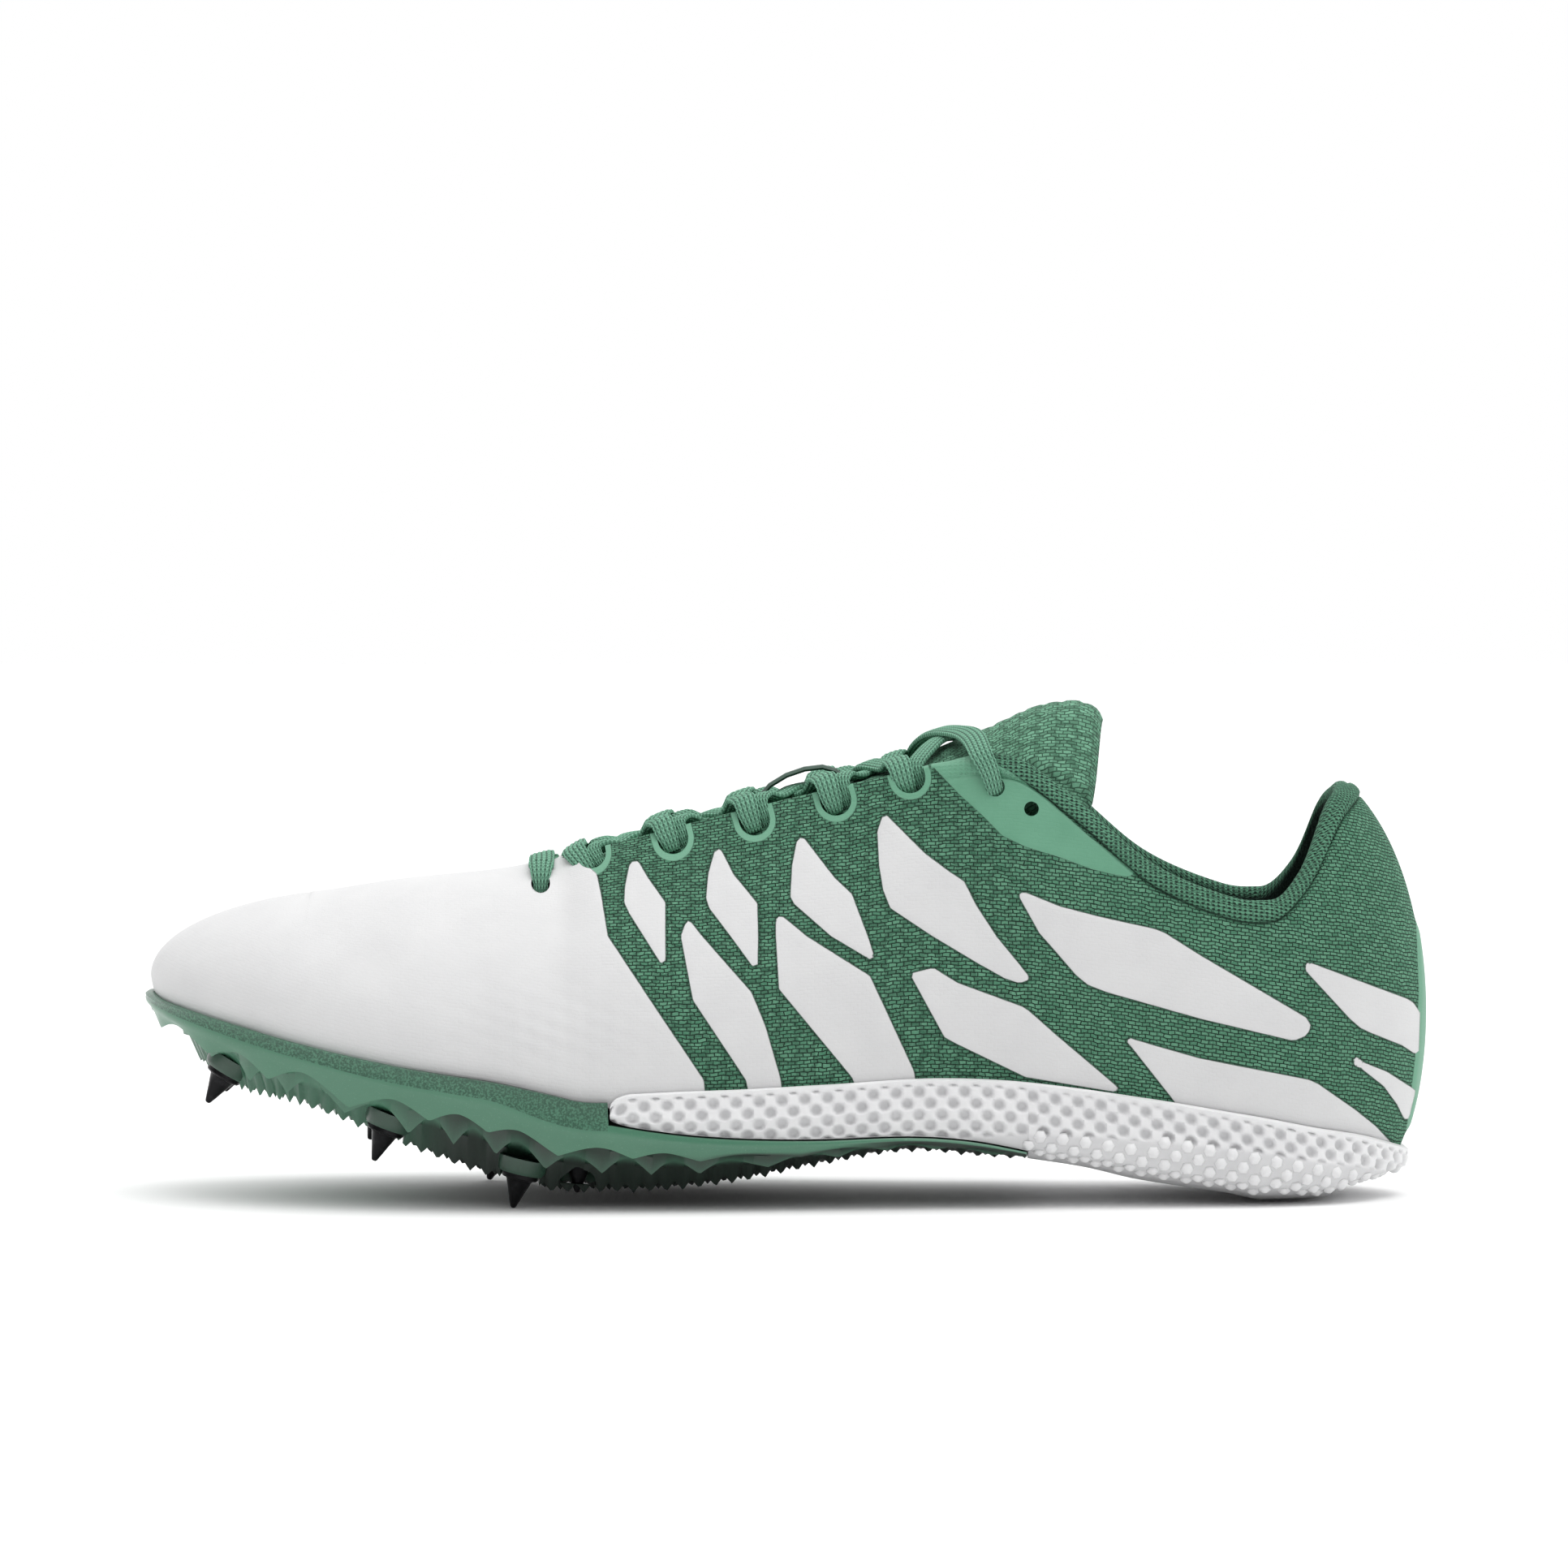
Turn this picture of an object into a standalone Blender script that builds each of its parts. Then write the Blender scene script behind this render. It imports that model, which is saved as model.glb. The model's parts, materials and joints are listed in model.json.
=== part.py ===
"""Track spike shoe for the left foot, standing empty on its spikes and heel.

Metres, +Z up. The toe points to -X, the outer (lateral) side of the foot faces -Y,
and the origin lies on the ground under the middle of the shoe.
Upper, sole, insole, tongue and films all come from one function of the last: a rib,
which starts at the seat on the sole and ends at the ridge, throat or collar.
"""
import math

import bmesh
import bpy
import numpy as np
from mathutils import Matrix, Vector

# Driving sizes of the shoe
LENGTH = 0.282            # toe tip of the plate to the back of the heel
BALL_WIDTH = 0.0925       # across the upper at the ball of the foot
TOE_SPRING = 0.0443       # seat of the upper at the toe tip, above the ground
INSTEP_HEIGHT = 0.0965    # top of the throat
HEEL_HEIGHT = 0.0922      # top of the heel tab

# Walls, gaps and thicknesses
WALL = 0.0017             # knit upper with its film
COLLAR_WALL = 0.0042      # padded collar roll
FIT_GAP = 0.0003          # between pieces that are glued or lie on each other
INSOLE_THICKNESS = 0.0032
INSOLE_EDGE_GAP = 0.0009
SOLE_RIM = 0.0017         # rim of plate and foam that cups the upper
FILM_THICKNESS = 0.0007
FILM_GAP = 0.0005          # between a film and the knit under it
TONGUE_THIN = 0.0026
TONGUE_PAD = 0.0075
LACE_WIDTH = 0.0056
LACE_THICKNESS = 0.0016
MERGE = 0.00002           # points closer than this are one point

# Spikes
SPIKE_HEIGHT = 0.0080     # seat on the plate to the tip
SPIKE_COLLAR_RADIUS = 0.0040
SPIKE_CONE_RADIUS = 0.0027
SPIKE_COLLAR_HEIGHT = 0.0014
SPIKE_TIP_RADIUS = 0.0006
SPIKE_SIDES = 8
BOSS_RADIUS = 0.0050
POCKET_RADIUS = 0.0062

# Lugs along the side of the plate
LUG_PITCH = 0.0165

# The last. One row for each rib, from the toe tip along the foot to the back of the heel.
# along: share of LENGTH, from the middle of the shoe
# lateral, medial: plan place of the seat, shares of BALL_WIDTH
# seat: height of the upper's lower edge, share of TOE_SPRING
# rim: height of the sole's rim above the seat, share of TOE_SPRING
# open: half width of the throat or collar, share of BALL_WIDTH, from the spine
# top: height of the ridge, throat or collar, share of INSTEP_HEIGHT up to the throat's top
#      and of HEEL_HEIGHT behind it
# lean, rise: how the wall leaves the seat, outward by a share of BALL_WIDTH and
#      upward by a share of the rib's height
# spread, drop: how it reaches the top, in the same shares
LAST_COLUMNS = ("along", "lateral", "medial", "seat", "rim", "open", "top",
                "lean", "rise", "spread", "drop")
LAST = (
    (-0.4930, 0.040, 0.040, 1.000, 0.02, 0.000, 0.689, 0.055, 0.50, 0.245, 0.12),
    (-0.4840, -0.095, 0.178, 0.978, 0.02, 0.000, 0.689, 0.052, 0.50, 0.245, 0.10),
    (-0.4590, -0.215, 0.275, 0.928, 0.03, 0.000, 0.689, 0.048, 0.50, 0.245, 0.07),
    (-0.4220, -0.305, 0.342, 0.858, 0.04, 0.000, 0.689, 0.045, 0.50, 0.245, 0.04),
    (-0.3700, -0.385, 0.402, 0.762, 0.05, 0.000, 0.691, 0.042, 0.50, 0.240, 0.02),
    (-0.3000, -0.446, 0.446, 0.664, 0.055, 0.000, 0.721, 0.040, 0.50, 0.250, 0.02),
    (-0.2200, -0.470, 0.470, 0.587, 0.055, 0.000, 0.746, 0.038, 0.50, 0.240, 0.03),
    (-0.1800, -0.472, 0.464, 0.546, 0.055, 0.000, 0.772, 0.036, 0.48, 0.210, 0.06),
    (-0.1420, -0.468, 0.442, 0.515, 0.06, 0.100, 0.806, 0.036, 0.46, 0.160, 0.12),
    (-0.0550, -0.449, 0.384, 0.516, 0.08, 0.128, 0.876, 0.038, 0.44, 0.125, 0.20),
    (0.0350, -0.411, 0.335, 0.540, 0.08, 0.155, 0.941, 0.042, 0.42, 0.100, 0.25),
    (0.1150, -0.384, 0.308, 0.566, 0.08, 0.200, 1.000, 0.044, 0.40, 0.085, 0.28),
    (0.1700, -0.370, 0.302, 0.554, 0.08, 0.245, 1.072, 0.044, 0.38, 0.072, 0.28),
    (0.2230, -0.358, 0.302, 0.516, 0.08, 0.278, 0.976, 0.044, 0.36, 0.058, 0.28),
    (0.2840, -0.346, 0.308, 0.459, 0.08, 0.288, 0.820, 0.044, 0.34, 0.048, 0.28),
    (0.3440, -0.330, 0.308, 0.398, 0.075, 0.280, 0.740, 0.045, 0.32, 0.050, 0.28),
    (0.3760, -0.314, 0.297, 0.366, 0.07, 0.265, 0.730, 0.050, 0.30, 0.058, 0.28),
    (0.4080, -0.281, 0.270, 0.330, 0.06, 0.242, 0.800, 0.062, 0.27, 0.085, 0.26),
    (0.4415, -0.211, 0.205, 0.293, 0.05, 0.215, 0.950, 0.080, 0.24, 0.140, 0.23),
    (0.4680, -0.114, 0.111, 0.244, 0.04, 0.193, 0.994, 0.096, 0.23, 0.205, 0.21),
    (0.4810, 0.000, 0.000, 0.215, 0.03, 0.184, 1.000, 0.103, 0.23, 0.228, 0.21),
)
ROW = {name: np.array([row[i] for row in LAST]) for i, name in enumerate(LAST_COLUMNS)}
TOE_POLE_ROW = 4          # ribs before this row fan out from the toe pole
THROAT_ROW = 7            # the throat opens behind this row
COLLAR_ROW = 11           # the collar begins at this row
HEEL_POLE_ROW = 16        # ribs behind this row fan out from the heel pole
SPINE_AT_TOE = 0.030      # plan place of the spine at the toe, share of BALL_WIDTH

# Ground line of the sole: along (share of LENGTH) and height (share of TOE_SPRING)
PLATE_GROUND = ((-0.500, 0.90), (-0.482, 0.76), (-0.449, 0.64), (-0.420, 0.54), (-0.373, 0.48),
                (-0.285, 0.27), (-0.218, 0.125), (-0.171, 0.066), (-0.120, 0.066),
                (-0.041, 0.108), (0.021, 0.183), (0.105, 0.26), (0.150, 0.235), (0.200, 0.22))
FOAM_SEAM = ((-0.133, 0.44), (-0.100, 0.405), (-0.059, 0.375), (0.025, 0.355), (0.090, 0.365),
             (0.141, 0.345), (0.187, 0.29), (0.215, 0.245))
FOAM_GROUND = ((0.187, 0.212), (0.233, 0.165), (0.271, 0.108), (0.316, 0.061), (0.343, 0.035),
               (0.372, 0.0), (0.388, 0.0), (0.410, 0.0), (0.422, 0.0), (0.432, 0.035),
               (0.454, 0.078), (0.477, 0.115), (0.490, 0.17))
FOAM_FRONT = -0.1335      # where the foam's round nose starts
PLATE_BACK = 0.187        # where the plate ends under the arch


def smooth(at, knots, values, level_ends=False):
    """Smooth curve through a table: cubic Hermite pieces whose slope at each knot is
    the mean of its neighbours' slopes, set to zero where the table turns and, for a
    size that both sides of the foot share, at the toe tip and the back of the heel."""
    at, knots, values = np.asarray(at, float), np.asarray(knots, float), np.asarray(values, float)
    step = np.diff(knots)
    rise = np.diff(values) / step
    slope = np.concatenate(([rise[0]], (rise[:-1] + rise[1:]) / 2, [rise[-1]]))
    turns = rise[:-1] * rise[1:] <= 0
    slope[1:-1][turns] = 0
    if level_ends:
        slope[0] = slope[-1] = 0
    i = np.clip(np.searchsorted(knots, at, side="right") - 1, 0, len(step) - 1)
    t = np.clip((at - knots[i]) / step[i], 0, 1)
    return ((2 * t**3 - 3 * t**2 + 1) * values[i] + (t**3 - 2 * t**2 + t) * step[i] * slope[i]
            + (3 * t**2 - 2 * t**3) * values[i + 1] + (t**3 - t**2) * step[i] * slope[i + 1])


def column(name, u):
    """Value of a column of the last between its rows."""
    return smooth(u, np.arange(len(LAST)), ROW[name], name not in ("lateral", "medial"))


def table_height(x, table):
    """Height at x from a table of shares of LENGTH and TOE_SPRING."""
    share = np.asarray(x) / LENGTH
    return TOE_SPRING * smooth(share, [row[0] for row in table], [row[1] for row in table])


def row_at(x):
    """The last's row number at a place along the foot, between the two poles."""
    u = np.linspace(TOE_POLE_ROW, HEEL_POLE_ROW, 400)
    return float(np.interp(x / LENGTH, column("along", u), u))


def height_unit(u):
    """What heights at the throat and collar are shares of: the instep's height, and behind
    the throat the heel's."""
    return INSTEP_HEIGHT + (HEEL_HEIGHT - INSTEP_HEIGHT) * np.clip(u - COLLAR_ROW, 0, 1)


def side_place(row):
    """Place in side view of a table's row: share of LENGTH, then share of the height unit."""
    x = row[0] * LENGTH
    return x, row[1] * float(height_unit(row_at(x)))


def spine_y(u):
    """Plan place of the spine, which turns inward towards the toe."""
    return BALL_WIDTH * SPINE_AT_TOE * np.clip((THROAT_ROW - u) / (THROAT_ROW - TOE_POLE_ROW), 0, 1)


class Rib:
    """One rib of the last: a curve in the upright plane through the spine and the seat."""

    def __init__(self, u, side):
        self.u, self.side = u, side
        self.seat_plan = np.array([column("along", u) * LENGTH, column(side, u) * BALL_WIDTH])
        spine_u = min(max(u, TOE_POLE_ROW), HEEL_POLE_ROW)
        self.spine = np.array([column("along", spine_u) * LENGTH, spine_y(spine_u)])
        if TOE_POLE_ROW <= u <= HEEL_POLE_ROW:
            self.out = np.array([0.0, -1.0 if side == "lateral" else 1.0])
        else:
            away = self.seat_plan - self.spine
            self.out = away / np.linalg.norm(away)
        self.reach = float((self.seat_plan - self.spine) @ self.out)
        self.seat = TOE_SPRING * column("seat", u)
        self.rim = TOE_SPRING * column("rim", u)
        self.spine_seat = TOE_SPRING * column("seat", spine_u)
        self.open = BALL_WIDTH * column("open", u) if u > THROAT_ROW else 0.0
        self.top = height_unit(u) * column("top", u)
        height = self.top - self.seat
        self.curve = np.array([
            (self.reach, self.seat),
            (self.reach + BALL_WIDTH * column("lean", u), self.seat + height * column("rise", u)),
            (self.open + BALL_WIDTH * column("spread", u), self.top - height * column("drop", u)),
            (self.open, self.top)])

    def profile(self, v, offset=0.0):
        """Distance from the spine and height at share v of the wall, moved out by offset."""
        v = np.asarray(v, float)[..., None]
        a, b, c, d = self.curve
        point = (1 - v)**3 * a + 3 * (1 - v)**2 * v * b + 3 * (1 - v) * v**2 * c + v**3 * d
        along = 3 * ((1 - v)**2 * (b - a) + 2 * (1 - v) * v * (c - b) + v**2 * (d - c))
        along = along / np.linalg.norm(along, axis=-1, keepdims=True)
        return point + offset * np.stack([along[..., 1], -along[..., 0]], axis=-1)

    def share_at(self, height):
        """Share v of the wall at a height above the ground."""
        v = np.linspace(0, 1, 60)
        return float(np.interp(height, self.profile(v)[:, 1], v))

    def place(self, points):
        """3-D places of points given as distance from the spine and height."""
        points = np.asarray(points, float)
        plan = self.spine + points[..., :1] * self.out
        return np.concatenate([plan, points[..., 1:]], axis=-1)


def collection(name):
    group = bpy.data.collections.new(name)
    bpy.context.scene.collection.children.link(group)
    return group


def clear_scene():
    for obj in list(bpy.data.objects):
        bpy.data.objects.remove(obj, do_unlink=True)


def finish(name, color, roughness, metallic=0.0):
    mat = bpy.data.materials.new(name)
    mat.use_nodes = True
    shader = mat.node_tree.nodes["Principled BSDF"]
    shader.inputs["Base Color"].default_value = (*color, 1.0)
    shader.inputs["Roughness"].default_value = roughness
    shader.inputs["Metallic"].default_value = metallic
    return mat


def mesh_object(name, points, faces, group, mat=None, closed=True):
    """Mesh from points and faces, with doubled points merged and smooth sides. On a
    closed solid all faces are turned outwards. What lies on the ground is one face."""
    mesh = bpy.data.meshes.new(name)
    bm = bmesh.new()
    verts = [bm.verts.new(p) for p in points]
    for face in faces:
        corners = list(dict.fromkeys(face))
        if len(corners) > 2:
            bm.faces.new([verts[i] for i in corners])
    bmesh.ops.remove_doubles(bm, verts=bm.verts, dist=MERGE)
    bmesh.ops.dissolve_degenerate(bm, edges=bm.edges, dist=MERGE)
    if closed:
        bmesh.ops.recalc_face_normals(bm, faces=bm.faces)
    on_ground = [e for e in bm.edges if max(v.co.z for v in e.verts) < MERGE / 10]
    bmesh.ops.dissolve_edges(bm, edges=[e for e in on_ground if all(
        max(v.co.z for v in f.verts) < MERGE / 10 for f in e.link_faces)])
    bm.to_mesh(mesh)
    bm.free()
    mesh.shade_smooth()
    mesh.set_sharp_from_angle(angle=math.radians(35))
    obj = bpy.data.objects.new(name, mesh)
    group.objects.link(obj)
    if mat:
        mesh.materials.append(mat)
    return obj


def grid_faces(columns, rows, closed):
    """Quads of a grid stored column by column; closed joins the last column to the first."""
    faces = []
    for i in range(columns if closed else columns - 1):
        k = (i + 1) % columns
        for j in range(rows - 1):
            faces.append((i * rows + j, k * rows + j, k * rows + j + 1, i * rows + j + 1))
    return faces


def loop_ribs(us):
    """Ribs from the toe tip along the lateral side to the heel and back on the medial side."""
    return [Rib(u, "lateral") for u in us] + [Rib(u, "medial") for u in us[-2:0:-1]]


def spaced(stops):
    """Row numbers from pairs of a stop and the number of steps that lead to it."""
    us = [stops[0][0]]
    for (start, _), (stop, steps) in zip(stops, stops[1:]):
        us += list(start + (stop - start) * np.arange(1, steps + 1) / steps)
    return us


def add_boolean(obj, cutter, operation):
    mod = obj.modifiers.new(operation.title(), "BOOLEAN")
    mod.object = cutter
    mod.operation = operation
    mod.solver = "EXACT"


def as_cutter(obj):
    obj.hide_render = True
    obj.display_type = "WIRE"
    return obj


BACKSTAY_ROW = 19.64      # the strip down the back of the heel begins at this row
BACKSTAY_SHARES = (0.1, 0.7)
BACKSTAY_STEP = 0.0006

# Columns of the grids, as the last's rows and the steps that lead to each
UPPER_STOPS = ((0, 0), (1, 2), (2, 2), (4, 4), (6, 5), (7, 2), (8, 3), (9, 4), (11, 7),
               (13, 4), (16, 5), (17, 2), (18, 2), (19, 2),
               (BACKSTAY_ROW - 0.04, 1), (BACKSTAY_ROW, 1), (20, 1))
UPPER_SHARES = np.array([0, 0.12, 0.27, 0.43, 0.6, 0.76, 0.89, 1])
COLLAR_SHARE = 0.86       # the wall thickens into the padded roll above this share


def wall_at(rib, v):
    """Thickness of the upper's wall: one knit layer, padded into a roll at the collar."""
    at_collar = np.clip(rib.u - COLLAR_ROW, 0, 1)
    roll = at_collar * np.clip((np.asarray(v) - COLLAR_SHARE) / (1 - COLLAR_SHARE), 0, 1)
    return WALL + (COLLAR_WALL - WALL) * np.sqrt(roll)


def build_upper(group, mat):
    """Hollow knit upper: the last's surface with its wall inside, open at the bottom,
    throat and collar, with a step in the wall for the strip down the back of the heel."""
    ribs = loop_ribs(spaced(UPPER_STOPS))
    points, padding = [], []
    for rib in ribs:
        strip = BACKSTAY_STEP * (rib.u >= BACKSTAY_ROW) * (
            (UPPER_SHARES > BACKSTAY_SHARES[0]) & (UPPER_SHARES < BACKSTAY_SHARES[1]))
        points += list(rib.place(rib.profile(UPPER_SHARES, strip[:, None])))
        padding += list(wall_at(rib, UPPER_SHARES))
    faces = grid_faces(len(ribs), len(UPPER_SHARES), closed=True)
    upper = mesh_object("upper", points, faces, group, mat, closed=False)
    thickness_group(upper, points, np.array(padding) / COLLAR_WALL)
    add_wall(upper, COLLAR_WALL, "thickness")
    return upper


def thickness_group(obj, points, weights):
    """Vertex group that scales the wall at each point of the grid the mesh came from."""
    places = np.array(points)
    group = obj.vertex_groups.new(name="thickness")
    for vert in obj.data.vertices:
        nearest = np.argmin(((places - np.array(vert.co)) ** 2).sum(axis=1))
        group.add([vert.index], float(weights[nearest]), "REPLACE")


def add_wall(obj, thickness, weights=None):
    mod = obj.modifiers.new("Wall", "SOLIDIFY")
    mod.thickness = thickness
    mod.offset = -1
    mod.use_even_offset = True
    mod.use_quality_normals = True
    if weights:
        mod.vertex_group = weights
        mod.thickness_vertex_group = 0.0


def sole_top(rib, share):
    """Height of the sole's top under the foot at a share of the rib's reach."""
    return rib.spine_seat + (rib.seat - rib.spine_seat) * share - FIT_GAP


def rib_x(rib, reach):
    return rib.spine[0] + reach * rib.out[0]


def rim_points(rib):
    """Inner and outer top of the rim that cups the upper."""
    share = rib.share_at(rib.seat + rib.rim)
    return [rib.profile(share, FIT_GAP), rib.profile(share, FIT_GAP + SOLE_RIM)]


def plate_section(rib, tip, under_foam):
    """Section of the hard plate: top, rim, smooth band, outer lug, inner lug, underside.
    tip runs from 0 between two lugs to 1 at a lug's point."""
    edge = rib.reach + FIT_GAP
    side = edge + SOLE_RIM
    if under_foam:
        level = float(table_height(rib.spine[0], FOAM_SEAM)) - FIT_GAP
        top = [(0, level), (0.55 * edge, level), (0.9 * edge, level), (edge, level),
               (side, level)]
    else:
        level = rib.seat
        top = [(0, sole_top(rib, 0)), (0.55 * edge, sole_top(rib, 0.55)),
               (edge, sole_top(rib, 1)), *rim_points(rib)]
    depth = level - float(table_height(rib_x(rib, edge), PLATE_GROUND))
    valley = level - 0.34 * depth
    side_points = [(side, level - 0.20 * depth),
                   (side - 0.3 * SOLE_RIM * (1 + tip), valley - 0.30 * depth * tip)]
    under = []
    for share, rise in ((0.82, 0.55), (0.72, 0.16 * (1 - tip)), (0.5, 0.20), (0, 0.22)):
        ceiling = level if under_foam else sole_top(rib, share)
        ground = float(table_height(rib_x(rib, share * edge), PLATE_GROUND))
        under.append((share * edge, ground + rise * (ceiling - ground)))
    return top + side_points + under


def foam_section(rib, behind_plate, height_share=1.0):
    """Section of the foam: top, rim, bulging side and underside."""
    edge = rib.reach + FIT_GAP
    side = edge + SOLE_RIM
    line = FOAM_GROUND if behind_plate else FOAM_SEAM
    inner = [0.86 * edge, 0.58 * edge, 0.3 * edge, 0] if behind_plate else [
        side - 0.6 * SOLE_RIM, 0.6 * edge, 0.3 * edge, 0]
    ground = [float(table_height(rib_x(rib, r), line)) for r in inner]
    depth = rib.seat - ground[0]
    tuck = 0.10 * depth if behind_plate else 0.0
    section = np.array([
        (0, sole_top(rib, 0)), (0.55 * edge, sole_top(rib, 0.55)), (edge, sole_top(rib, 1)),
        *rim_points(rib),
        (side + 0.3 * SOLE_RIM, rib.seat - 0.35 * depth),
        (side - 0.2 * SOLE_RIM - 0.4 * tuck, ground[0] + 0.25 * depth + 0.5 * tuck),
        (inner[0], ground[0] + tuck), (inner[1], ground[1]), (inner[2], ground[2]),
        (inner[3], ground[3])])
    middle = (rib.seat + ground[0]) / 2
    section[:, 1] = middle + (section[:, 1] - middle) * height_share
    return section


def closed_sections(name, ribs, sections, group, mat, open_loop):
    """Solid from one section per rib. The sections' first and last points lie on the
    spine; a loop that ends part way along the foot gets a flat face across it."""
    points = [p for rib, section in zip(ribs, sections) for p in rib.place(section)]
    rows, columns = len(sections[0]), len(ribs)
    faces = grid_faces(columns, rows, closed=not open_loop)
    if open_loop:
        last = (columns - 1) * rows
        faces.append(tuple(range(rows)) + tuple(last + j for j in range(rows - 2, 0, -1)))
    return mesh_object(name, points, faces, group, mat)


def columns_with(us, places, spacing):
    """Row numbers of a grid with extra columns at places along the foot, and none of
    the others nearer to them than the spacing."""
    kept = [u for u in us
            if all(abs(column("along", u) * LENGTH - place) > spacing for place in places)]
    return sorted(kept + [row_at(x) for x in places])


def lug_columns():
    """Row numbers at equal steps along the plate's edge, four to each lug."""
    fine = np.linspace(0, row_at(PLATE_BACK * LENGTH), 600)
    xy = np.stack([column("along", fine) * LENGTH, column("lateral", fine) * BALL_WIDTH])
    run = np.concatenate(([0], np.cumsum(np.linalg.norm(np.diff(xy), axis=0))))
    count = int(round(run[-1] / LUG_PITCH * len(LUG_WAVE)))
    return np.interp(np.linspace(0, run[-1], count + 1), run, fine)


LUG_WAVE = (1.0, 0.30, 0.08, 0.30)      # a lug's point, and the hollow up to the next one
STEP_FACE = 0.0003                      # run of the steps where plate and foam meet
COLUMN_SPACING = 0.0018


def build_plate(group, mat):
    """Hard outsole plate from the toe tip to the arch, with its rim and two tiers of lugs."""
    step = FOAM_FRONT * LENGTH - FIT_GAP
    us = columns_with(lug_columns(), (step - STEP_FACE, step), COLUMN_SPACING)
    sections, ribs = [], []
    for side in ("lateral", "medial"):
        for i, u in enumerate(us):
            rib = Rib(u, side)
            tip = LUG_WAVE[i % len(LUG_WAVE)]
            under_foam = u >= row_at(step) - 1e-6
            ribs.append(rib)
            sections.append(plate_section(rib, tip, under_foam))
    return closed_sections("outsole_plate", *end_to_end(ribs, sections), group, mat, True)


def end_to_end(ribs, sections):
    """Ribs of both sides as one run: from the lateral end round the toe to the medial end."""
    half = len(ribs) // 2
    order = list(range(half - 1, -1, -1)) + list(range(half + 1, 2 * half))
    return [ribs[i] for i in order], [sections[i] for i in order]


def build_foam(group, mat):
    """Foam midsole from its nose at the ball to the heel, over the plate and then down
    to the ground."""
    nose = FOAM_FRONT * LENGTH
    step = PLATE_BACK * LENGTH + FIT_GAP
    places = [nose + share * NOSE_LENGTH for share, _ in NOSE] + [step, step + STEP_FACE]
    us = columns_with([u for u in spaced(FOAM_STOPS) if u > row_at(nose)], places,
                      COLUMN_SPACING)
    sections, ribs = [], []
    for rib in [Rib(u, "lateral") for u in us] + [Rib(u, "medial") for u in us[-2::-1]]:
        past = (column("along", rib.u) * LENGTH - nose) / NOSE_LENGTH
        height = float(np.interp(past, *zip(*NOSE)))
        ribs.append(rib)
        sections.append(foam_section(rib, rib.u > row_at(step) + 1e-6, height))
    return closed_sections("midsole_foam", ribs, sections, group, mat, True)


FOAM_STOPS = ((8, 0), (9, 5), (11, 8), (13, 6), (16, 8), (17, 2), (18, 2), (19, 2), (20, 2))
NOSE_LENGTH = 0.0040
NOSE = ((0.0, 0.55), (0.35, 0.86), (1.0, 1.0))   # share of the nose's length, of full height


def build_insole(group, mat):
    """Insole lying on the sole's top inside the upper."""
    ribs = loop_ribs(spaced(INSOLE_STOPS))
    points, rows = [], 5
    for rib in ribs:
        edge = rib.reach - WALL - INSOLE_EDGE_GAP
        share = edge / (rib.reach + FIT_GAP)
        low, middle, high = (sole_top(rib, s) + INSOLE_LIFT for s in (0, 0.6 * share, share))
        points += list(rib.place([
            (0, low + INSOLE_THICKNESS), (0.6 * edge, middle + INSOLE_THICKNESS),
            (edge, high + INSOLE_THICKNESS), (edge, high), (0, low)]))
    faces = grid_faces(len(ribs), rows, closed=True)
    return mesh_object("insole", points, faces, group, mat)


INSOLE_STOPS = ((0, 0), (1, 2), (2, 2), (4, 3), (6, 3), (9, 5), (13, 5), (16, 5), (17, 2), (18, 2),
                (19, 2), (20, 2))
INSOLE_LIFT = 0.0006      # between the sole's top and the insole

# Tongue: along (share of LENGTH), height of its middle (share of the height unit), thickness
# (share of the way from TONGUE_THIN to TONGUE_PAD)
TONGUE = ((-0.200, 0.0, 0.0), (-0.180, 0.753, 0.0), (-0.156, 0.766, 0.0), (-0.135, 0.788, 0.0),
          (-0.106, 0.808, 0.0), (-0.071, 0.837, 0.0), (-0.035, 0.868, 0.0), (0.000, 0.901, 0.0),
          (0.035, 0.930, 0.0), (0.071, 0.966, 0.15), (0.106, 1.003, 0.5), (0.142, 1.0719, 0.85),
          (0.177, 1.1450, 1.0), (0.200, 1.1743, 1.0), (0.2165, 1.1879, 0.9))
TONGUE_EDGE = 0.66        # share of the rib's wall where the tongue's edge lies
TONGUE_END_BULGE = 0.008  # how far the free end runs back at its sides
TONGUE_GAP = 0.0007       # between the tongue and the wall over it
TONGUE_SLACK = 0.0024     # more room at the collar and at the throat's front end
TONGUE_FREE = 0.160       # the free end begins here, share of LENGTH


def tongue_section(rib, middle):
    """Upper surface of the tongue on one side, edge to middle, under the wall of the rib."""
    v = np.linspace(TONGUE_EDGE, 1, 5)
    slack = TONGUE_SLACK * max(np.clip(rib.u - COLLAR_ROW + 1, 0, 1),
                               np.clip(1 - abs(rib.u - THROAT_ROW - 0.4) / 1.4, 0, 1) * 0.6)
    under_wall = [rib.profile(share, -(wall_at(rib, share) + TONGUE_GAP + slack)) for share in v]
    end = under_wall[-1]
    if rib.open == 0:
        height = end[1]
        return under_wall[:-1] + [(0.5 * under_wall[-2][0], (height + under_wall[-2][1]) / 2),
                                  (0, height), (0, height)]
    return under_wall + [(0.5 * end[0], middle - 0.25 * (middle - end[1])), (0, middle)]


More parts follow.
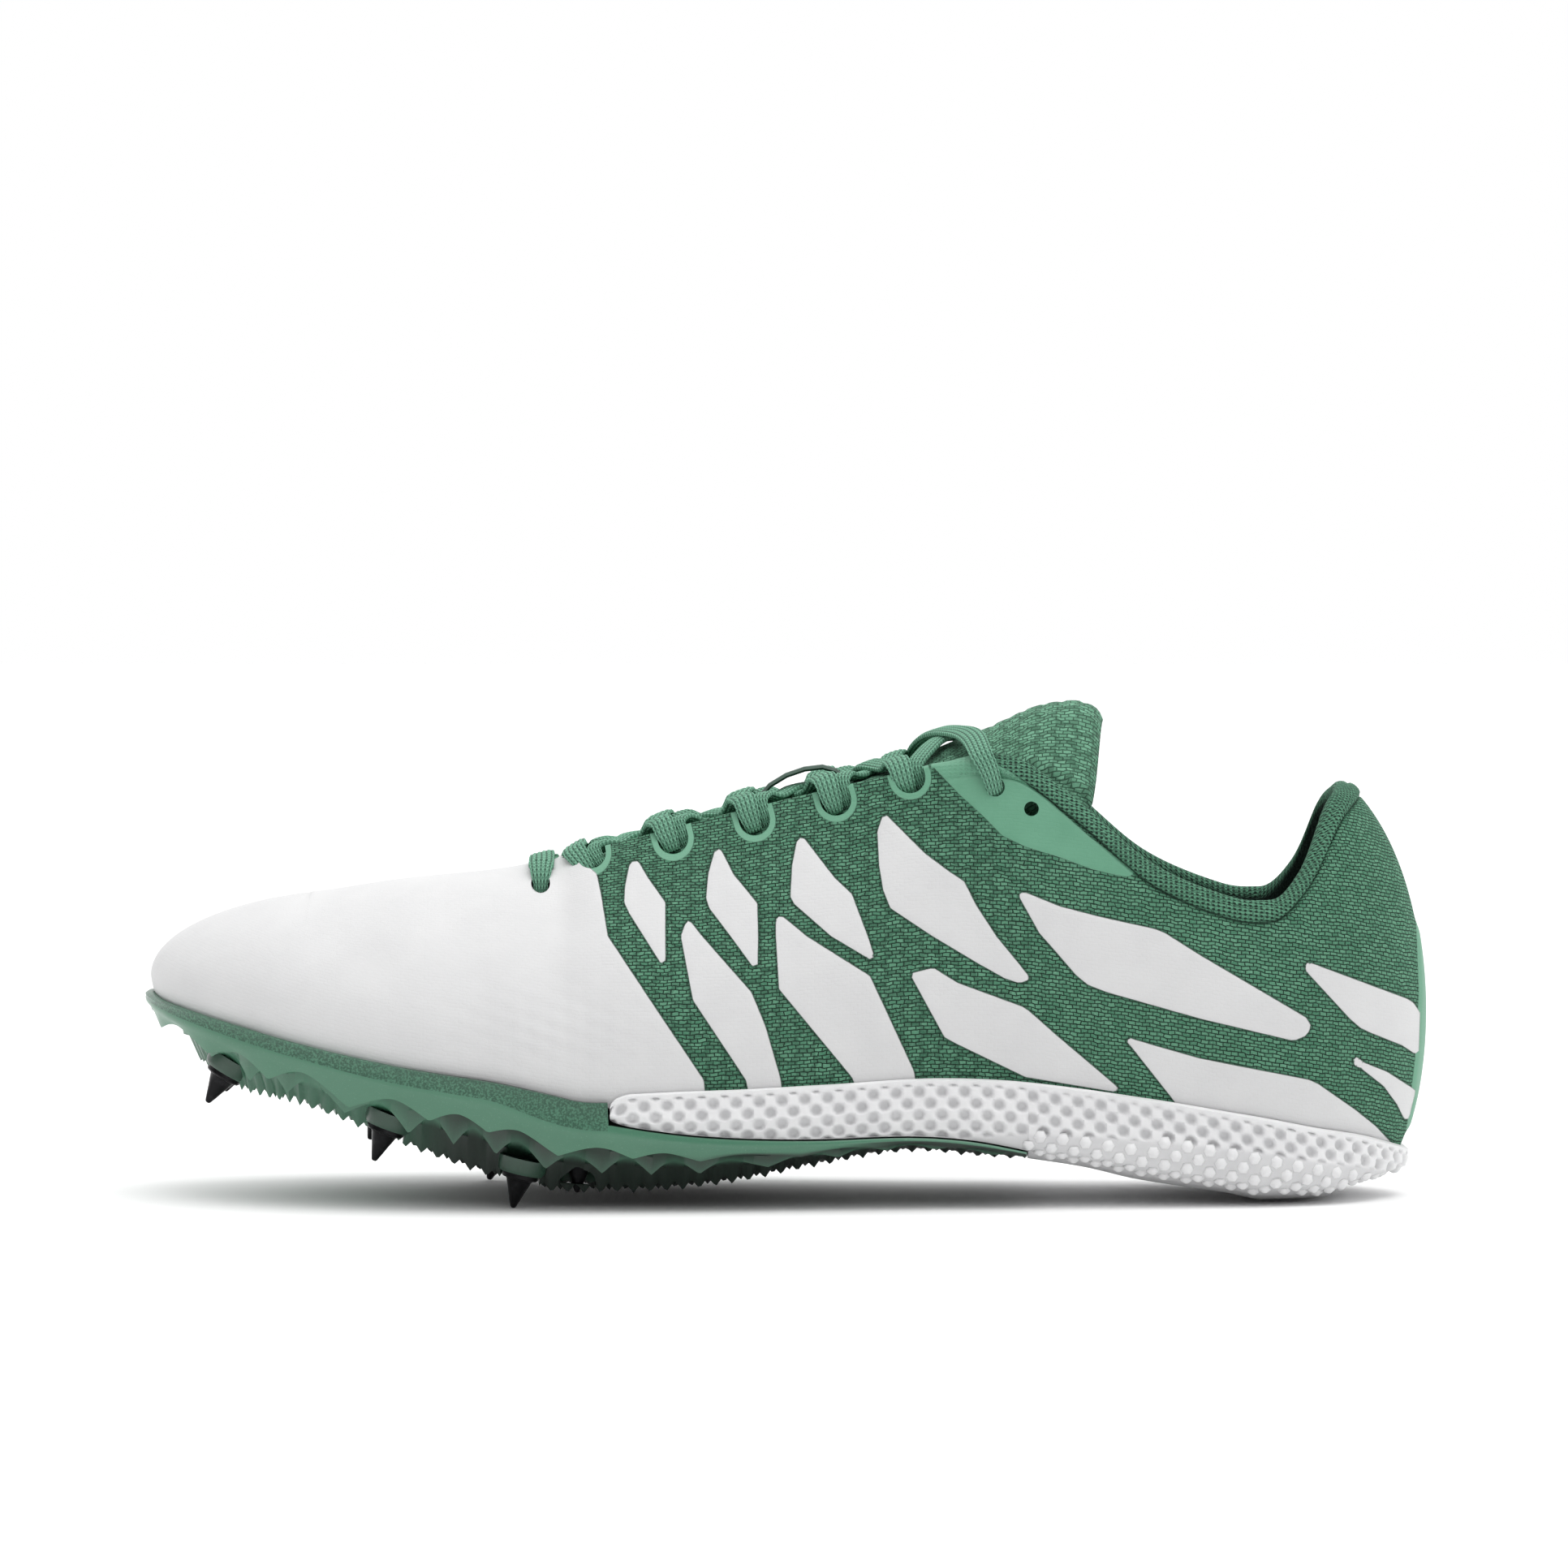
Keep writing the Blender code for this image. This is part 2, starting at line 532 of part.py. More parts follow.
def build_tongue(group, mat):
    """Tongue from under the vamp to its padded, arched free end above the collar."""
    points, weights = [], []
    for along, height, pad in TONGUE:
        u = row_at(along * LENGTH)
        lateral = Rib(u, "lateral")
        medial = Rib(u, "medial")
        middle = height * height_unit(u)
        half = tongue_section(lateral, middle)
        other = tongue_section(medial, middle)
        across = np.concatenate([lateral.place(half), medial.place(other[-2::-1])])
        share = np.linspace(-1, 1, len(across))
        freedom = np.clip((along - TONGUE_FREE) / (TONGUE[-1][0] - TONGUE_FREE), 0, 1)
        across[:, 0] += TONGUE_END_BULGE * freedom * np.abs(np.sin(math.pi * share)) ** 0.8
        points += list(across)
        thick = TONGUE_THIN + (TONGUE_PAD - TONGUE_THIN) * pad
        weights += [thick / TONGUE_PAD] * len(across)
    faces = grid_faces(len(TONGUE), len(points) // len(TONGUE), closed=False)
    tongue = mesh_object("tongue", points, faces, group, mat, closed=False)
    thickness_group(tongue, points, weights)
    add_wall(tongue, TONGUE_PAD, "thickness")


# Notches in the throat's edges: along (share of LENGTH) and height of the notch's bottom
# (share of the height unit). Each takes the end of one lace strand and lets another out.
NOTCHES = ((-0.147, 0.757), (-0.083, 0.792), (-0.0195, 0.834), (0.0435, 0.880), (0.101, 0.932))
NOTCH_RADIUS = 0.0034
NOTCH_REACH = 0.0140      # from the notch's bottom up past the throat's edge
THROAT_SLOPE = 0.30       # rise of the throat's edge for each unit along it
FILM_BAND = 0.0023        # width of the film round a notch
SIDE_REACH = 0.60         # how far the cutters reach sideways, share of BALL_WIDTH
SIDE_START = 0.02

# Eyelet holes in the top film: along (share of LENGTH), height (share of the height unit), radius
EYELETS = ((0.163, 0.9861, 0.0021), (0.191, 0.9409, 0.0016))
LOWEST_EYELET = (-0.1895, 0.722, 0.0021)
EYELET_SIDES = 10

# Outline of the top film, from its front arm round below and back under the collar's seam
TOP_FILM = ((0.076, 1.045), (0.082, 0.962), (0.088, 0.918), (0.101, 0.903), (0.111, 0.922),
            (0.118, 0.9619), (0.137, 0.9444), (0.156, 0.9107), (0.171, 0.8750), (0.189, 0.8467),
            (0.215, 0.8237), (0.241, 0.7954), (0.261, 0.7797), (0.271, 0.7766), (0.277, 0.7871),
            (0.260, 0.8237), (0.238, 0.8771), (0.208, 0.9577), (0.177, 1.0205), (0.161, 1.0383),
            (0.140, 1.0650))


def side_prism(name, outline, side, group):
    """Prism through one side of the shoe, from an outline in side view."""
    sign = -1 if side == "lateral" else 1
    near, far = SIDE_START * BALL_WIDTH * sign, SIDE_REACH * BALL_WIDTH * sign
    count = len(outline)
    points = [(x, y, z) for y in (near, far) for x, z in outline]
    faces = [tuple(range(count)), tuple(range(count, 2 * count))]
    faces += [(i, (i + 1) % count, count + (i + 1) % count, count + i) for i in range(count)]
    return as_cutter(mesh_object(name, points, faces, group))


def notch_outline(notch, grow):
    """U-shaped outline of a notch in side view, made wider by grow."""
    x, bottom = side_place(notch)
    up = np.array([-THROAT_SLOPE, 1.0]) / math.hypot(THROAT_SLOPE, 1.0)
    across = np.array([up[1], -up[0]])
    centre = np.array([x, bottom]) + up * NOTCH_RADIUS
    radius = NOTCH_RADIUS + grow
    angles = np.linspace(0, math.pi, 7)
    points = [centre + radius * (math.cos(t) * across - math.sin(t) * up) for t in angles]
    points += [points[-1] + up * NOTCH_REACH, points[0] + up * NOTCH_REACH]
    return points


def circle_outline(eyelet):
    x, z = side_place(eyelet)
    turns = np.arange(EYELET_SIDES) * 2 * math.pi / EYELET_SIDES
    return [(x + eyelet[2] * math.cos(t), z + eyelet[2] * math.sin(t)) for t in turns]


def film_sheet(name, start, end, low_share, side, group, mat):
    """Sheet of film that follows the upper's outer surface between two places along the foot."""
    columns = np.array(spaced(UPPER_STOPS))
    first = columns[columns <= row_at(start)][-1]
    last = columns[columns >= row_at(end)][0]
    us = columns[(columns >= first) & (columns <= last)]
    shares = UPPER_SHARES[UPPER_SHARES >= low_share]
    points = []
    for rib in [Rib(u, side) for u in us]:
        points += list(rib.place(rib.profile(shares, FILM_GAP + FILM_THICKNESS)))
    faces = grid_faces(len(us), len(shares), closed=False)
    if side == "medial":
        faces = [face[::-1] for face in faces]
    film = mesh_object(name, points, faces, group, mat, closed=False)
    add_wall(film, FILM_THICKNESS)
    return film


def build_throat(upper, group, cutters, mat):
    """Notches and eyelet holes through the upper, and the films round them."""
    reach = NOTCH_RADIUS + FILM_BAND
    for side in ("lateral", "medial"):
        top_outline = [side_place(row) for row in TOP_FILM]
        top = film_sheet("top_film_" + side, TOP_FILM[0][0] * LENGTH - FILM_BAND,
                         0.277 * LENGTH + FILM_BAND, 0.4, side, group, mat)
        add_boolean(top, side_prism("top_outline_" + side, top_outline, side, cutters), "INTERSECT")
        for number, notch in enumerate(NOTCHES, start=2):
            hole = side_prism("notch_%d_%s" % (number, side), notch_outline(notch, 0), side, cutters)
            add_boolean(upper, hole, "DIFFERENCE")
            if notch is NOTCHES[-1]:      # this one lies in the top film
                add_boolean(top, hole, "DIFFERENCE")
                continue
            x = notch[0] * LENGTH
            film = film_sheet("eyelet_film_%d_%s" % (number, side), x - reach - NOTCH_RADIUS,
                              x + reach + FILM_BAND, 0.55, side, group, mat)
            around = side_prism("film_%d_%s" % (number, side), notch_outline(notch, FILM_BAND),
                                side, cutters)
            add_boolean(film, around, "INTERSECT")
            add_boolean(film, hole, "DIFFERENCE")
        for number, eyelet in enumerate((*EYELETS, LOWEST_EYELET)):
            hole = side_prism("eyelet_%d_%s" % (number, side), circle_outline(eyelet), side, cutters)
            add_boolean(upper, hole, "DIFFERENCE")
            if eyelet is not LOWEST_EYELET:
                add_boolean(top, hole, "DIFFERENCE")


# Lace. Each crossing is two strands, joined where they cross over the tongue's middle.
STRAND_WIDTH_IN_NOTCH = 0.0027
STRAND_GAP = 0.0008       # between a strand and the tongue
STRAND_DEPTH = 0.0026     # how far below the throat's edge a strand ends in its notch
STRAND_STEPS = 10
STRAND_OFFSET = 0.00165   # from the notch's middle to each of its two strands
STRAND_SPREAD = 1.7       # width gained for each step away from the notch
STRAND_OVER = 0.0013      # lift of the upper strand of a crossing at the middle
LACE_SECTION = ((1, 0), (0.6, 1), (-0.6, 1), (-1, 0), (-0.6, -1), (0.6, -1))
SLOPE_REACH = 0.002       # step for the slope of the surface that a strand lies on

# Highest crossing, from the last notch over the tongue's pad: along (share of LENGTH),
# across from the notch's side (share of BALL_WIDTH), height (share of the height unit). Then
# down the other side's wall towards the top eyelet: along, share of the wall
HIGH_STRAND = ((0.1012, 0.184, 0.965), (0.1055, 0.130, 1.020), (0.122, 0.022, 1.0711),
               (0.138, -0.090, 1.0886), (0.147, -0.180, 1.0889))
HIGH_WRAP = ((0.153, 0.99), (0.158, 0.955), (0.1615, 0.915))

# Keeper: thin band along the tongue that the laces run under
KEEPER = ((-0.0240, 0.889), (-0.0185, 0.912), (-0.0110, 0.938), (0.0020, 0.961), (0.0160, 0.975),
          (0.0300, 0.980), (0.0400, 0.972), (0.0475, 0.952))
KEEPER_WIDTH = 0.0060
KEEPER_THICKNESS = 0.0010


def throat_point(x, share, below):
    """Place on the tongue's upper surface. share runs from 0 below the throat's lateral
    edge to 1 below the medial edge, each reached by that length along the surface."""
    table = [row[:2] for row in TONGUE if row[1] > 0]
    middle = float(smooth(x / LENGTH, *zip(*table)) * height_unit(row_at(x)))
    lateral, medial = (np.array(tongue_section(Rib(row_at(x), side), middle))
                       for side in ("lateral", "medial"))
    line = np.concatenate([lateral * (-1, 1), medial[-2::-1]])
    run = np.concatenate(([0], np.cumsum(np.linalg.norm(np.diff(line, axis=0), axis=1))))
    first, last = run[len(lateral) - 3] - below, run[-len(medial) + 2] + below
    at = first + (last - first) * share
    return np.array([x, np.interp(at, run, line[:, 0]), np.interp(at, run, line[:, 1])])


def flat_strand(name, centres, normals, widths, thickness, group, mat):
    """Flat lace or band along a path: a six-sided section, thinner at its edges."""
    centres, normals = np.array(centres), np.array(normals)
    ahead = np.gradient(centres, axis=0)
    across = np.cross(normals, ahead)
    across /= np.linalg.norm(across, axis=1, keepdims=True)
    normals = np.cross(ahead, across)
    normals /= np.linalg.norm(normals, axis=1, keepdims=True)
    half = np.array(widths)[:, None] / 2
    rings = [centres + across * half * a + normals * thickness / 2 * b for a, b in LACE_SECTION]
    points = np.stack(rings, axis=1).reshape(-1, 3)
    sides, count = len(LACE_SECTION), len(centres)
    faces = [(i * sides + k, (i + 1) * sides + k, (i + 1) * sides + (k + 1) % sides,
              i * sides + (k + 1) % sides) for i in range(count - 1) for k in range(sides)]
    faces += [tuple(range(sides)), tuple((count - 1) * sides + k for k in range(sides))]
    return mesh_object(name, points, faces, group, mat)


def strand(name, low, high, lift, from_lateral, group, mat=None):
    """Strand that leaves one notch, crosses the tongue and enters the next."""
    centres, normals, widths = [], [], []
    for share in np.linspace(0, 1, STRAND_STEPS + 1):
        ease = np.clip((share - 0.14) / 0.72, 0, 1)
        ease = ease * ease * (3 - 2 * ease)
        across = share if from_lateral else 1 - share
        notch, sign = (low, 1) if share < 0.5 else (high, -1)
        start, end = (row[0] * LENGTH for row in (low, high))
        x = start + STRAND_OFFSET + (end - start - 2 * STRAND_OFFSET) * ease
        spread = STRAND_SPREAD * min(x - start, end - x)
        place = throat_point(x, across, STRAND_DEPTH)
        in_notch = 1 - min(1, abs(x - notch[0] * LENGTH - sign * STRAND_OFFSET) / NOTCH_RADIUS)
        x -= THROAT_SLOPE * in_notch * (place[2] - side_place(notch)[1])
        place = throat_point(x, across, STRAND_DEPTH)
        step = min(0.05, across, 1 - across) if 0 < across < 1 else 0.05
        along_foot = (throat_point(x + SLOPE_REACH, across, STRAND_DEPTH)
                      - throat_point(x - SLOPE_REACH, across, STRAND_DEPTH))
        sideways = (throat_point(x, min(1, across + step), STRAND_DEPTH)
                    - throat_point(x, max(0, across - step), STRAND_DEPTH))
        normal = np.cross(along_foot, sideways)
        normal /= np.linalg.norm(normal)
        rise = STRAND_GAP + LACE_THICKNESS / 2 + lift * math.sin(math.pi * share) ** 2
        centres.append(place + normal * rise)
        normals.append(normal)
        widths.append(min(LACE_WIDTH, max(STRAND_WIDTH_IN_NOTCH, spread)))
    return flat_strand(name, centres, normals, widths, LACE_THICKNESS, group, mat)


def high_strand(name, from_lateral, lift, group, mat=None):
    """Strand of the highest crossing, by its own route over the tongue's pad."""
    sign, far_side = (-1, "medial") if from_lateral else (1, "lateral")
    clear = FILM_GAP + FILM_THICKNESS + STRAND_GAP + LACE_THICKNESS / 2
    wrap = [tuple(rib.place(rib.profile(v, clear)))
            for rib, v in ((Rib(row_at(x * LENGTH), far_side), v) for x, v in HIGH_WRAP)]
    knots = np.array([(x * LENGTH, sign * y * BALL_WIDTH, side_place((x, z))[1])
                      for x, y, z in HIGH_STRAND] + wrap)
    at = np.linspace(0, len(knots) - 1, STRAND_STEPS + 1)
    centres = np.stack([smooth(at, np.arange(len(knots)), knots[:, i]) for i in range(3)], axis=1)
    share = at / at[-1]
    centres[:, 2] += lift * np.sin(math.pi * share) ** 2
    ahead = np.gradient(centres, axis=0)
    normals = np.cross(ahead, (1.0, 0.0, 0.30)) * sign
    widths = STRAND_WIDTH_IN_NOTCH + (LACE_WIDTH - STRAND_WIDTH_IN_NOTCH) * np.clip(
        4 * np.minimum(share, 1.3 - share), 0, 1)
    return flat_strand(name, centres, normals, widths, LACE_THICKNESS, group, mat)


def lowest_bar(group, mat):
    """Lowest bar of the lace, over the vamp between the two round eyelets."""
    x, height = side_place(LOWEST_EYELET)
    centres, normals = [], []
    for share in np.linspace(-1, 1, STRAND_STEPS + 1):
        rib = Rib(row_at(x), "lateral" if share < 0 else "medial")
        v = 1 - abs(share) * (1 - rib.share_at(height))
        low, high = (rib.place(rib.profile(v, STRAND_GAP + d * LACE_THICKNESS)) for d in (0, 1))
        centres.append((low + high) / 2)
        normals.append(high - low)
    widths = [LACE_WIDTH] * len(centres)
    return flat_strand("lace_bar", centres, normals, widths, LACE_THICKNESS, group, mat)


def build_laces(group, cutters, mat):
    """Lowest bar and the crossings from notch to notch, each crossing one joined solid."""
    lowest_bar(group, mat)
    for number, (low, high) in enumerate(zip(NOTCHES, NOTCHES[1:]), start=2):
        crossing = strand("lace_crossing_%d" % number, low, high, 0, True, group, mat)
        other = strand("lace_over_%d" % number, low, high, STRAND_OVER, False, cutters)
        add_boolean(crossing, as_cutter(other), "UNION")
    top = high_strand("lace_crossing_top", True, 0, group, mat)
    over = high_strand("lace_over_top", False, STRAND_OVER, cutters)
    add_boolean(top, as_cutter(over), "UNION")


def build_keeper(group, mat):
    """Thin band along the tongue, its ends on the tongue and its arch over the laces."""
    centres = np.array([(x, 0, z) for x, z in map(side_place, KEEPER)])
    normals = np.cross(np.gradient(centres, axis=0), (0.0, 1.0, 0.0))
    flat_strand("lace_keeper", centres, normals, [KEEPER_WIDTH] * len(centres),
                KEEPER_THICKNESS, group, mat)


# Spikes: along (share of LENGTH), across (share of BALL_WIDTH), tip above ground (share of
# TOE_SPRING). The two at the ball stand on the ground.
SPIKES = {
    "toe_lateral": (-0.449, -0.160, 0.480), "toe_medial": (-0.443, 0.215, 0.470),
    "front_lateral": (-0.317, -0.325, 0.225), "front_medial": (-0.330, 0.325, 0.205),
    "ball_lateral": (-0.2095, -0.350, 0.0), "ball_medial": (-0.235, 0.335, 0.0),
    "rear_lateral": (-0.160, -0.325, 0.072), "rear_medial": (-0.177, 0.305, 0.072)}


def spike_frame(row):
    """Place of a spike: its seat on the plate, with local -Z towards the tip."""
    x, y, tip_z = row[0] * LENGTH, row[1] * BALL_WIDTH, row[2] * TOE_SPRING
    run = 0.05 * LENGTH
    slope = (table_height(x + run, PLATE_GROUND) - table_height(x - run, PLATE_GROUND)) / (2 * run)
    up = Vector((-slope, 0, 1)).normalized()
    turn = Vector((0, 0, 1)).rotation_difference(up).to_matrix().to_4x4()
    tip = Vector((x, y, tip_z + SPIKE_TIP_RADIUS * abs(up.x)))
    return Matrix.Translation(tip + up * SPIKE_HEIGHT) @ turn


def turned(name, profile, sides, frame, group, mat=None):
    """Turned solid: a profile from the axis out and down, swept by a Screw modifier."""
    mesh = bpy.data.meshes.new(name)
    mesh.from_pydata([(r, 0, z) for r, z in profile],
                     [(i, i + 1) for i in range(len(profile) - 1)], [])
    obj = bpy.data.objects.new(name, mesh)
    obj.matrix_world = frame
    group.objects.link(obj)
    if mat:
        mesh.materials.append(mat)
    mod = obj.modifiers.new("Turn", "SCREW")
    mod.steps = mod.render_steps = sides
    mod.use_merge_vertices = True
    mod.merge_threshold = MERGE
    return obj


def build_spikes(group, mat):
    """Screw-in spikes, each turned from one profile, collar up against the plate."""
    profile = ((0, 0), (SPIKE_COLLAR_RADIUS, 0), (SPIKE_COLLAR_RADIUS, -SPIKE_COLLAR_HEIGHT),
               (SPIKE_CONE_RADIUS, -SPIKE_COLLAR_HEIGHT * 1.4),
               (SPIKE_TIP_RADIUS, -SPIKE_HEIGHT), (0, -SPIKE_HEIGHT))
    for name, row in SPIKES.items():
        turned("spike_" + name, profile, SPIKE_SIDES, spike_frame(row), group, mat)


def seat_spikes(plate, cutters):
    """Join a boss to the plate above each spike, then cut boss and lugs off at its seat."""
    for name, row in SPIKES.items():
        frame = spike_frame(row)
        for kind, radius, top, bottom, operation in (
                ("boss_", BOSS_RADIUS, BOSS_HEIGHT, -SPIKE_COLLAR_HEIGHT, "UNION"),
                ("pocket_", POCKET_RADIUS, FIT_GAP, -2 * SPIKE_HEIGHT, "DIFFERENCE")):
            cylinder = ((0, top), (radius, top), (radius, bottom), (0, bottom))
            cutter = turned(kind + name, cylinder, POCKET_SIDES, frame, cutters)
            add_boolean(plate, as_cutter(cutter), operation)


BOSS_HEIGHT = 0.0030
POCKET_SIDES = 12


def main():
    clear_scene()
    shoe = collection("track_spike_shoe")
    cutters = collection("cutters")
    knit = finish("green_knit", (0.07, 0.22, 0.13), 0.85)
    film = finish("green_gloss_film", (0.12, 0.34, 0.21), 0.3)
    plastic = finish("green_plate_plastic", (0.07, 0.20, 0.13), 0.35)
    foam = finish("white_foam", (0.85, 0.85, 0.85), 0.7)
    lace = finish("green_lace", (0.09, 0.30, 0.18), 0.8)
    board = finish("insole_fabric", (0.10, 0.10, 0.10), 0.9)
    steel = finish("black_spike", (0.01, 0.01, 0.01), 0.4, 0.6)
    upper = build_upper(shoe, knit)
    build_throat(upper, shoe, cutters, film)
    plate = build_plate(shoe, plastic)
    seat_spikes(plate, cutters)
    build_foam(shoe, foam)
    build_insole(shoe, board)
    build_tongue(shoe, knit)
    build_laces(shoe, cutters, lace)
    build_keeper(shoe, film)
    build_spikes(shoe, steel)


main()
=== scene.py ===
import json
import math

import bmesh
import bpy
import numpy as np
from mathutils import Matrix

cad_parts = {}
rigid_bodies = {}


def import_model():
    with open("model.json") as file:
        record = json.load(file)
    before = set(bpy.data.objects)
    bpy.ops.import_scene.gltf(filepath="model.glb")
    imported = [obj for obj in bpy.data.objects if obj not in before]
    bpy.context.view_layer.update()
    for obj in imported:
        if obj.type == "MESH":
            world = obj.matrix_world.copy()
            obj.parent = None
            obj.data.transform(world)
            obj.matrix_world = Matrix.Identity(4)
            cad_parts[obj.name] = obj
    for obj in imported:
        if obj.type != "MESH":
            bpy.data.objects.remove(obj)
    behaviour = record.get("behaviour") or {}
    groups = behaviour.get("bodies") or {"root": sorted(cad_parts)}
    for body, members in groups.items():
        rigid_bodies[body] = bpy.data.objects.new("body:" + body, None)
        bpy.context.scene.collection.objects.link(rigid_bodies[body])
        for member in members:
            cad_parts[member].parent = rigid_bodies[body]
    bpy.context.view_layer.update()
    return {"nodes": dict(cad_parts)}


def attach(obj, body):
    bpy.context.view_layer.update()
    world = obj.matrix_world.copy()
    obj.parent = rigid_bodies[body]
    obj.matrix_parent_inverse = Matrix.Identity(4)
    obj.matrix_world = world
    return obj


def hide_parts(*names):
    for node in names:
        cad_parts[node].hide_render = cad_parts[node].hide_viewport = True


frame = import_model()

nodes = frame["nodes"]
MM = 0.001

# The last.
# One row for each rib, from the toe tip to the back of the heel. along, share of the length;
# lateral and medial, the seat's place across, shares of the ball width; seat and rim, heights
# as shares of the toe spring; open, half width of the throat or collar; top, height of its
# edge; lean, rise, spread and drop, how the wall leaves the seat and reaches the top.
LENGTH, BALL, SPRING, INSTEP, HEEL = 0.282, 0.0925, 0.0443, 0.0965, 0.0922
LAST_COLUMNS = ("along", "lateral", "medial", "seat", "rim", "open", "top",
                "lean", "rise", "spread", "drop")
LAST = (
    (-0.4930, 0.040, 0.040, 1.000, 0.02, 0.000, 0.689, 0.055, 0.50, 0.245, 0.12),
    (-0.4840, -0.095, 0.178, 0.978, 0.02, 0.000, 0.689, 0.052, 0.50, 0.245, 0.10),
    (-0.4590, -0.215, 0.275, 0.928, 0.03, 0.000, 0.689, 0.048, 0.50, 0.245, 0.07),
    (-0.4220, -0.305, 0.342, 0.858, 0.04, 0.000, 0.689, 0.045, 0.50, 0.245, 0.04),
    (-0.3700, -0.385, 0.402, 0.762, 0.05, 0.000, 0.691, 0.042, 0.50, 0.240, 0.02),
    (-0.3000, -0.446, 0.446, 0.664, 0.055, 0.000, 0.721, 0.040, 0.50, 0.250, 0.02),
    (-0.2200, -0.470, 0.470, 0.587, 0.055, 0.000, 0.746, 0.038, 0.50, 0.240, 0.03),
    (-0.1800, -0.472, 0.464, 0.546, 0.055, 0.000, 0.772, 0.036, 0.48, 0.210, 0.06),
    (-0.1420, -0.468, 0.442, 0.515, 0.06, 0.100, 0.806, 0.036, 0.46, 0.160, 0.12),
    (-0.0550, -0.449, 0.384, 0.516, 0.08, 0.128, 0.876, 0.038, 0.44, 0.125, 0.20),
    (0.0350, -0.411, 0.335, 0.540, 0.08, 0.155, 0.941, 0.042, 0.42, 0.100, 0.25),
    (0.1150, -0.384, 0.308, 0.566, 0.08, 0.200, 1.000, 0.044, 0.40, 0.085, 0.28),
    (0.1700, -0.370, 0.302, 0.554, 0.08, 0.245, 1.072, 0.044, 0.38, 0.072, 0.28),
    (0.2230, -0.358, 0.302, 0.516, 0.08, 0.278, 0.976, 0.044, 0.36, 0.058, 0.28),
    (0.2840, -0.346, 0.308, 0.459, 0.08, 0.288, 0.820, 0.044, 0.34, 0.048, 0.28),
    (0.3440, -0.330, 0.308, 0.398, 0.075, 0.280, 0.740, 0.045, 0.32, 0.050, 0.28),
    (0.3760, -0.314, 0.297, 0.366, 0.07, 0.265, 0.730, 0.050, 0.30, 0.058, 0.28),
    (0.4080, -0.281, 0.270, 0.330, 0.06, 0.242, 0.800, 0.062, 0.27, 0.085, 0.26),
    (0.4415, -0.211, 0.205, 0.293, 0.05, 0.215, 0.950, 0.080, 0.24, 0.140, 0.23),
    (0.4680, -0.114, 0.111, 0.244, 0.04, 0.193, 0.994, 0.096, 0.23, 0.205, 0.21),
    (0.4810, 0.000, 0.000, 0.215, 0.03, 0.184, 1.000, 0.103, 0.23, 0.228, 0.21),
)
ROW = {name: np.array([row[i] for row in LAST]) for i, name in enumerate(LAST_COLUMNS)}
TOE_POLE, THROAT, COLLAR, HEEL_POLE = 4, 7, 11, 16


def smooth(at, knots, values, level_ends=False):
    """Cubic Hermite curve through a table. The slope at a knot is the mean of its two
    neighbours' slopes, and zero where the table turns."""
    at, knots, values = np.asarray(at, float), np.asarray(knots, float), np.asarray(values, float)
    step = np.diff(knots)
    rise = np.diff(values) / step
    slope = np.concatenate(([rise[0]], (rise[:-1] + rise[1:]) / 2, [rise[-1]]))
    slope[1:-1][rise[:-1] * rise[1:] <= 0] = 0
    if level_ends:
        slope[0] = slope[-1] = 0
    i = np.clip(np.searchsorted(knots, at, side="right") - 1, 0, len(step) - 1)
    t = np.clip((at - knots[i]) / step[i], 0, 1)
    return ((2 * t**3 - 3 * t**2 + 1) * values[i] + (t**3 - 2 * t**2 + t) * step[i] * slope[i]
            + (3 * t**2 - 2 * t**3) * values[i + 1] + (t**3 - t**2) * step[i] * slope[i + 1])


def last_size(name, u):
    """A column of the last at row numbers u."""
    return smooth(u, np.arange(len(LAST)), ROW[name], name not in ("lateral", "medial"))


def follow(x, table, column=1):
    """A column of a table, whose first column is shares of the length, at places x."""
    return smooth(x / LENGTH, [row[0] for row in table], [row[column] for row in table])


def height_unit(u):
    """What the tops are shares of: the instep's height, easing to the heel's."""
    return INSTEP + (HEEL - INSTEP) * np.clip(u - COLLAR, 0, 1)


def run_of(line):
    """Length from a line's start to each of its points."""
    return np.concatenate(([0], np.cumsum(np.linalg.norm(np.diff(line, axis=0), axis=1))))


def run_down(grid):
    """Length from the first to each point of every column of a grid."""
    return np.cumsum(np.linalg.norm(np.diff(grid, axis=1, prepend=grid[:, :1]), axis=2), axis=1)


def soft_step(value, low, high):
    """0 below low, 1 above high, and a soft step between them."""
    t = np.clip((value - low) / (high - low), 0, 1)
    return t * t * (3 - 2 * t)


def row_at(x):
    """Row number of the last at places along the foot, between its two poles."""
    u = np.linspace(TOE_POLE, HEEL_POLE, 800)
    return np.interp(np.asarray(x) / LENGTH, last_size("along", u), u)


